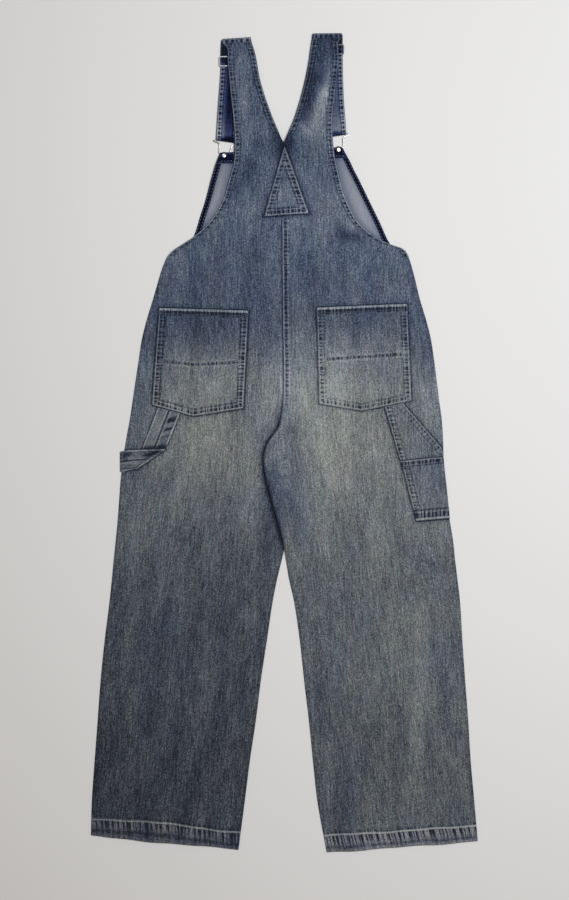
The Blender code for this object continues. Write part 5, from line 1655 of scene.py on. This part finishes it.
def stitch_path(thing, runs, pitch=3.7, length=2.9, radius=0.34, rise=0.26):
    """Stitches along polylines, each a small bent capsule seated on the piece under it."""
    tree = surface_of(thing)
    sides = 5
    turn = np.linspace(0.0, 2 * math.pi, sides, endpoint=False)
    verts = []
    faces = []
    for run in runs:
        p = np.asarray(run, float)
        seg = np.hypot(*np.diff(p, axis=0).T)
        total = np.concatenate([[0.0], np.cumsum(seg)])
        for start in np.arange(0.4 * pitch, total[-1] - length, pitch):
            centres = []
            for part, drop, size in ((0.0, -0.22, 0.5), (0.22, 0.75 * rise, 1.0), (0.78, 0.75 * rise, 1.0),
                                     (1.0, -0.22, 0.5)):
                at = start + part * length
                x = float(np.interp(at, total, p[:, 0]))
                y = float(np.interp(at, total, p[:, 1]))
                hit = tree.ray_cast(Vector((x * MM, y * MM, 0.05)), Vector((0.0, 0.0, -1.0)))
                if hit[0] is None or hit[1].z < 0.2:
                    break
                centres.append((x, y, hit[0].z / MM + drop, size * radius))
            if len(centres) < 4:
                continue
            heights = [c[2] for c in centres]
            if max(heights) - min(heights) > 1.4:
                continue
            c = np.array(centres)
            ahead = c[-1, :2] - c[0, :2]
            ahead = ahead / np.linalg.norm(ahead)
            side = np.array([-ahead[1], ahead[0], 0.0])
            base = len(verts)
            for x, y, z, r in c:
                for t in turn:
                    verts.append((x + side[0] * r * math.cos(t), y + side[1] * r * math.cos(t),
                                  z + r * math.sin(t)))
            for k in range(3):
                for j in range(sides):
                    other = (j + 1) % sides
                    faces.append((base + k * sides + j, base + k * sides + other,
                                  base + (k + 1) * sides + other, base + (k + 1) * sides + j))
            faces.append(tuple(base + j for j in range(sides))[::-1])
            faces.append(tuple(base + 3 * sides + j for j in range(sides)))
    return verts, faces


def add_stitches(name, thing, runs, material, slot, **options):
    """One joined mesh of the stitches on a piece."""
    verts, faces = stitch_path(thing, runs, **options)
    mesh = bpy.data.meshes.new(name)
    mesh.from_pydata([tuple(c * MM for c in v) for v in verts], [], faces)
    made = finish_mesh(name, mesh, material, angle=70)
    return place(made, ())


def edge_run(table, low, high, inward):
    """A line beside an edge curve, inward millimetres from it."""
    y = np.arange(high, low, -RUN_STEP)
    x = curve_at(table, y)
    slope = np.gradient(x, y)
    scale = np.sqrt(1.0 + slope ** 2)
    return np.stack([x + inward * scale, y], axis=1)


def hem_run(outer, inner, hem, above):
    """A line across a trouser leg above its hem."""
    y_out = hem[0] + above
    y_in = hem[1] + above
    x_out = float(curve_at(outer, y_out))
    x_in = float(curve_at(inner, y_in))
    t = np.linspace(0.0, 1.0, HEM_RUN_POINTS)
    x = x_out + (x_in - x_out) * t
    return np.stack([x, y_out + (y_in - y_out) * t - hem_wave(x)], axis=1)


def pocket_runs(corners, cross):
    """Stitch lines of a back pocket: sides and bottom twice, top hem twice, the line across twice."""
    top_left, top_right, low_right, tip, low_left = [np.array(p, float) for p in corners]
    outline = [top_left, low_left, tip, low_right, top_right]
    runs = []
    for inset in (2.0, 8.4):
        runs.append(inset_line(outline, inset))
    down = (low_left - top_left) / np.linalg.norm(low_left - top_left)
    for drop in (1.6, 10.8):
        runs.append([top_left + down * drop + (3.0, 0.0), top_right + down * drop - (3.0, 0.0)])
    runs.append(offset_line(cross, 1.6))
    runs.append(offset_line(cross, -1.6))
    return runs


def inset_line(outline, inset):
    """An open outline moved inward to its left side, its corners kept on the bisectors."""
    p = [np.array(q, float) for q in outline]
    out = []
    normals = []
    for a, b in zip(p[:-1], p[1:]):
        d = (b - a) / np.linalg.norm(b - a)
        normals.append(np.array([-d[1], d[0]]))
    for k, q in enumerate(p):
        if k == 0:
            out.append(q + normals[0] * inset)
        elif k == len(p) - 1:
            out.append(q + normals[-1] * inset)
        else:
            n = normals[k - 1] + normals[k]
            out.append(q + n * inset / max(0.3, float(np.dot(n, normals[k]))))
    return out


# Line sewn across each back pocket: x, y
LEFT_CROSS = ((-235, 151), (-200, 147), (-163, 143), (-110, 146), (-68, 148))
RIGHT_CROSS = ((62, 152), (140, 157), (229, 163))

# Sewn lines along a back panel's edges, each row: low y, high y, edge curve, insets
LEFT_SEWN = ((342, 722, LEFT_OUTER, (2.3, 8.3)), (560, 722, LEFT_INNER, (-2.3, -8.3)))
RIGHT_SEWN = ((342, 732, RIGHT_OUTER, (-2.3, -8.3)), (560, 732, RIGHT_INNER, (2.3, 8.3)),
              (-28, 409, RIGHT_INNER, (2.4, 9.8)))

# Short pale lines on each back panel, by the patch and by the side seam
LEFT_MARKS = (((-30.0, 382.0), (-9.0, 381.0)), ((-240.0, 254.5), (-231.0, 256.5)))
RIGHT_MARKS = (((16.0, 383.5), (31.0, 384.0)), ((230.0, 256.0), (239.0, 255.0)))

Side = namedtuple("Side", "name key outer inner front_inner under front_under hem top pocket cross spots"
                          " strap buckle sewn marks")
SIDES = (
    Side("left", 1.0, LEFT_OUTER, LEFT_INNER, FRONT_LEFT_INNER, back_left_under, front_left_under,
         LEFT_HEM, LEFT_TOP, POCKET_LEFT, LEFT_CROSS, LEFT_SPOTS, LEFT_FRONT_STRAP, LEFT_BUCKLE,
         LEFT_SEWN, LEFT_MARKS),
    Side("right", 2.0, RIGHT_OUTER, RIGHT_INNER, FRONT_RIGHT_INNER, back_right_under, front_right_under,
         RIGHT_HEM, RIGHT_TOP, POCKET_RIGHT, RIGHT_CROSS, RIGHT_SPOTS, RIGHT_FRONT_STRAP, RIGHT_BUCKLE,
         RIGHT_SEWN, RIGHT_MARKS),
)


# Light and camera, in metres: the key light's place over the floor, height, side and power
KEY_AT = (0.90, 0.53)
KEY_HEIGHT = 3.0
KEY_SIZE = 1.1
KEY_POWER = 86.0
KEY_COLOUR = (0.935, 0.96, 1.0)
SKY_COLOUR = (1.0, 0.84, 0.64, 1.0)
SKY_STRENGTH = 0.2
CAMERA_PLACE = (0.0, -0.0118, 2.275)

# The floor's half side and its squares along each side
FLOOR_HALF = 3.0
FLOOR_SQUARES = 12


def build_floor():
    """The plain pale floor."""
    mesh = bpy.data.meshes.new("floor")
    side = FLOOR_SQUARES + 1
    grid = np.linspace(-FLOOR_HALF, FLOOR_HALF, side)
    verts = [(x, y, 0.0) for y in grid for x in grid]
    corners = [r * side + c for r in range(FLOOR_SQUARES) for c in range(FLOOR_SQUARES)]
    faces = [(a, a + 1, a + side + 1, a + side) for a in corners]
    mesh.from_pydata(verts, [], faces)
    material, _, shader = new_material("pale_floor")
    shader.inputs["Base Color"].default_value = (0.80, 0.80, 0.80, 1.0)
    shader.inputs["Roughness"].default_value = 0.85
    shader.inputs["Specular IOR Level"].default_value = 0.2
    mesh.materials.append(material)
    floor = bpy.data.objects.new("floor", mesh)
    bpy.context.scene.collection.objects.link(floor)


def add_light(name, position, target, size, power, colour):
    """A soft square light aimed at a point."""
    data = bpy.data.lights.new(name, "AREA")
    data.shape = "SQUARE"
    data.size = size
    data.energy = power
    data.color = colour
    light = bpy.data.objects.new(name, data)
    light.location = position
    aim = Vector(target) - Vector(position)
    light.rotation_euler = aim.to_track_quat("-Z", "Y").to_euler()
    bpy.context.scene.collection.objects.link(light)


def set_stage():
    """Light, world and the camera straight above."""
    scene = bpy.context.scene
    scene.view_settings.view_transform = "Standard"
    scene.view_settings.look = "None"
    world = bpy.data.worlds.new("studio")
    world.use_nodes = True
    background = world.node_tree.nodes["Background"]
    background.inputs["Color"].default_value = SKY_COLOUR
    background.inputs["Strength"].default_value = SKY_STRENGTH
    scene.world = world
    add_light("key", (*KEY_AT, KEY_HEIGHT), (*KEY_AT, 0.0), KEY_SIZE, KEY_POWER, KEY_COLOUR)
    camera_data = bpy.data.cameras.new("camera")
    camera_data.lens = 50.0
    camera_data.sensor_width = 36.0
    camera_data.sensor_fit = "AUTO"
    camera = bpy.data.objects.new("camera", camera_data)
    camera.location = CAMERA_PLACE
    bpy.context.scene.collection.objects.link(camera)
    scene.camera = camera


def sew_facings(facings):
    """Two dark lines along each facing."""
    runs = {"facing_top": [((-114.0, 524.6), (100.0, 534.6)), ((-118.0, 512.0), (108.0, 522.2))]}
    for name, table, low, high, sign in (("facing_left", BIB_LEFT, 364, 505, 1.0),
                                         ("facing_right", BIB_RIGHT, 364, 515, -1.0)):
        runs[name] = [edge_run(table, low, high, sign * inset) for inset in (2.4, 7.8)]
    return [add_stitches("stitches_" + thing.name, thing, runs[thing.name], THREAD, "denim_dark",
                         radius=0.5, pitch=5.8, length=2.8) for thing, _ in facings]


def sew_backs(backs):
    """Each back panel's edge lines, hem line and marks, as one list for each panel."""
    edges, marks, hems = [], [], []
    for side, (back, _) in zip(SIDES, backs):
        runs = [edge_run(table, low, high, inset) for low, high, table, insets in side.sewn
                for inset in insets]
        edges.append(add_stitches("stitches_back_" + side.name, back, runs, THREAD, "denim_worn"))
    for side, (back, _) in zip(SIDES, backs):
        marks.append(add_stitches("stitches_marks_" + side.name, back, side.marks, PALE_THREAD,
                                  "denim_worn", radius=0.26))
    for side, (back, _) in zip(SIDES, backs):
        runs = [hem_run(side.outer, side.inner, side.hem, HEM_LINE)]
        hems.append(add_stitches("stitches_hem_" + side.name, back, runs, PALE_THREAD, "denim_worn"))
    return list(zip(edges, hems, marks))


def sew_tool_pocket(tools):
    """The back edge's two lines on both pieces, the slanted top's line and the lower piece's bands."""
    made = []
    for name, (thing, _), table in zip(("upper", "lower"), tools, (TOOL_UPPER, TOOL_LOWER)):
        runs = [offset_line([row[:2] for row in table], shift) for shift in (2.2, 11.0)]
        if name == "upper":
            runs.append([(213.0, 70.0), (236.0, 45.0), (282.0, -7.0)])
        else:
            for row, shifts in ((table[0], (-1.6, -10.2)), (table[-1], (1.6, 18.4))):
                runs += [offset_line([row[:2], row[2:]], shift) for shift in shifts]
        made.append(add_stitches("stitches_tool_" + name, thing, runs, THREAD, "denim_worn"))
    return made


def main():
    """Builds every piece, its stitches, the stage and the record of sizes."""
    build_floor()
    fronts = [build_front(s.name, s.outer, s.front_inner, s.front_under, s.hem) for s in SIDES]
    bib, bib_grid = build_bib()
    facings = build_facings()
    backs = [build_back(s.name, s.outer, s.inner, s.under, s.hem, s.top) for s in SIDES]
    patch, patch_grid = build_patch()
    pockets = [build_pocket(s.name, s.pocket, s.cross, s.under, s.spots, s.key) for s in SIDES]
    tools = build_tool_pocket()
    loop, loop_grid = build_hammer_loop()
    facing_stitches = sew_facings(facings)
    straps = [build_front_strap(s.name, s.strap, s.buckle, 50.0 + s.key) for s in SIDES]
    for side in SIDES:
        build_wire(side.name, side.buckle)
        build_slide(side.name, side.strap)
        build_button(side.name, side.buckle)

    back_stitches = sew_backs(backs)
    pocket_stitches = [add_stitches("stitches_pocket_" + s.name, pocket, pocket_runs(s.pocket, s.cross),
                                    THREAD, "denim_pale") for s, (pocket, _) in zip(SIDES, pockets)]
    patch_runs = [inset_line(PATCH + PATCH[:1], inset) for inset in (2.2, 9.4)]
    patch_stitches = add_stitches("stitches_patch", patch, patch_runs, THREAD, "denim_worn")
    tool_stitches = sew_tool_pocket(tools)

    left, right = [thing for thing, _ in backs]
    for thing, grid in fronts:
        declare(thing, grid)
    declare(bib, bib_grid)
    for (thing, grid), sewn in zip(facings, facing_stitches):
        declare(thing, grid)
    declare(left, backs[0][1])
    declare(right, backs[1][1])
    declare(patch, patch_grid)
    for (thing, grid), back, sewn in zip(pockets, (left, right), pocket_stitches):
        declare(thing, grid)
    for (thing, grid), sewn in zip(tools, tool_stitches):
        declare(thing, grid)
    declare(loop, loop_grid)
    for thing, grid in straps:
        declare(thing, grid)
    set_stage()
    print("cut sizes", json.dumps(SIZES))


main()
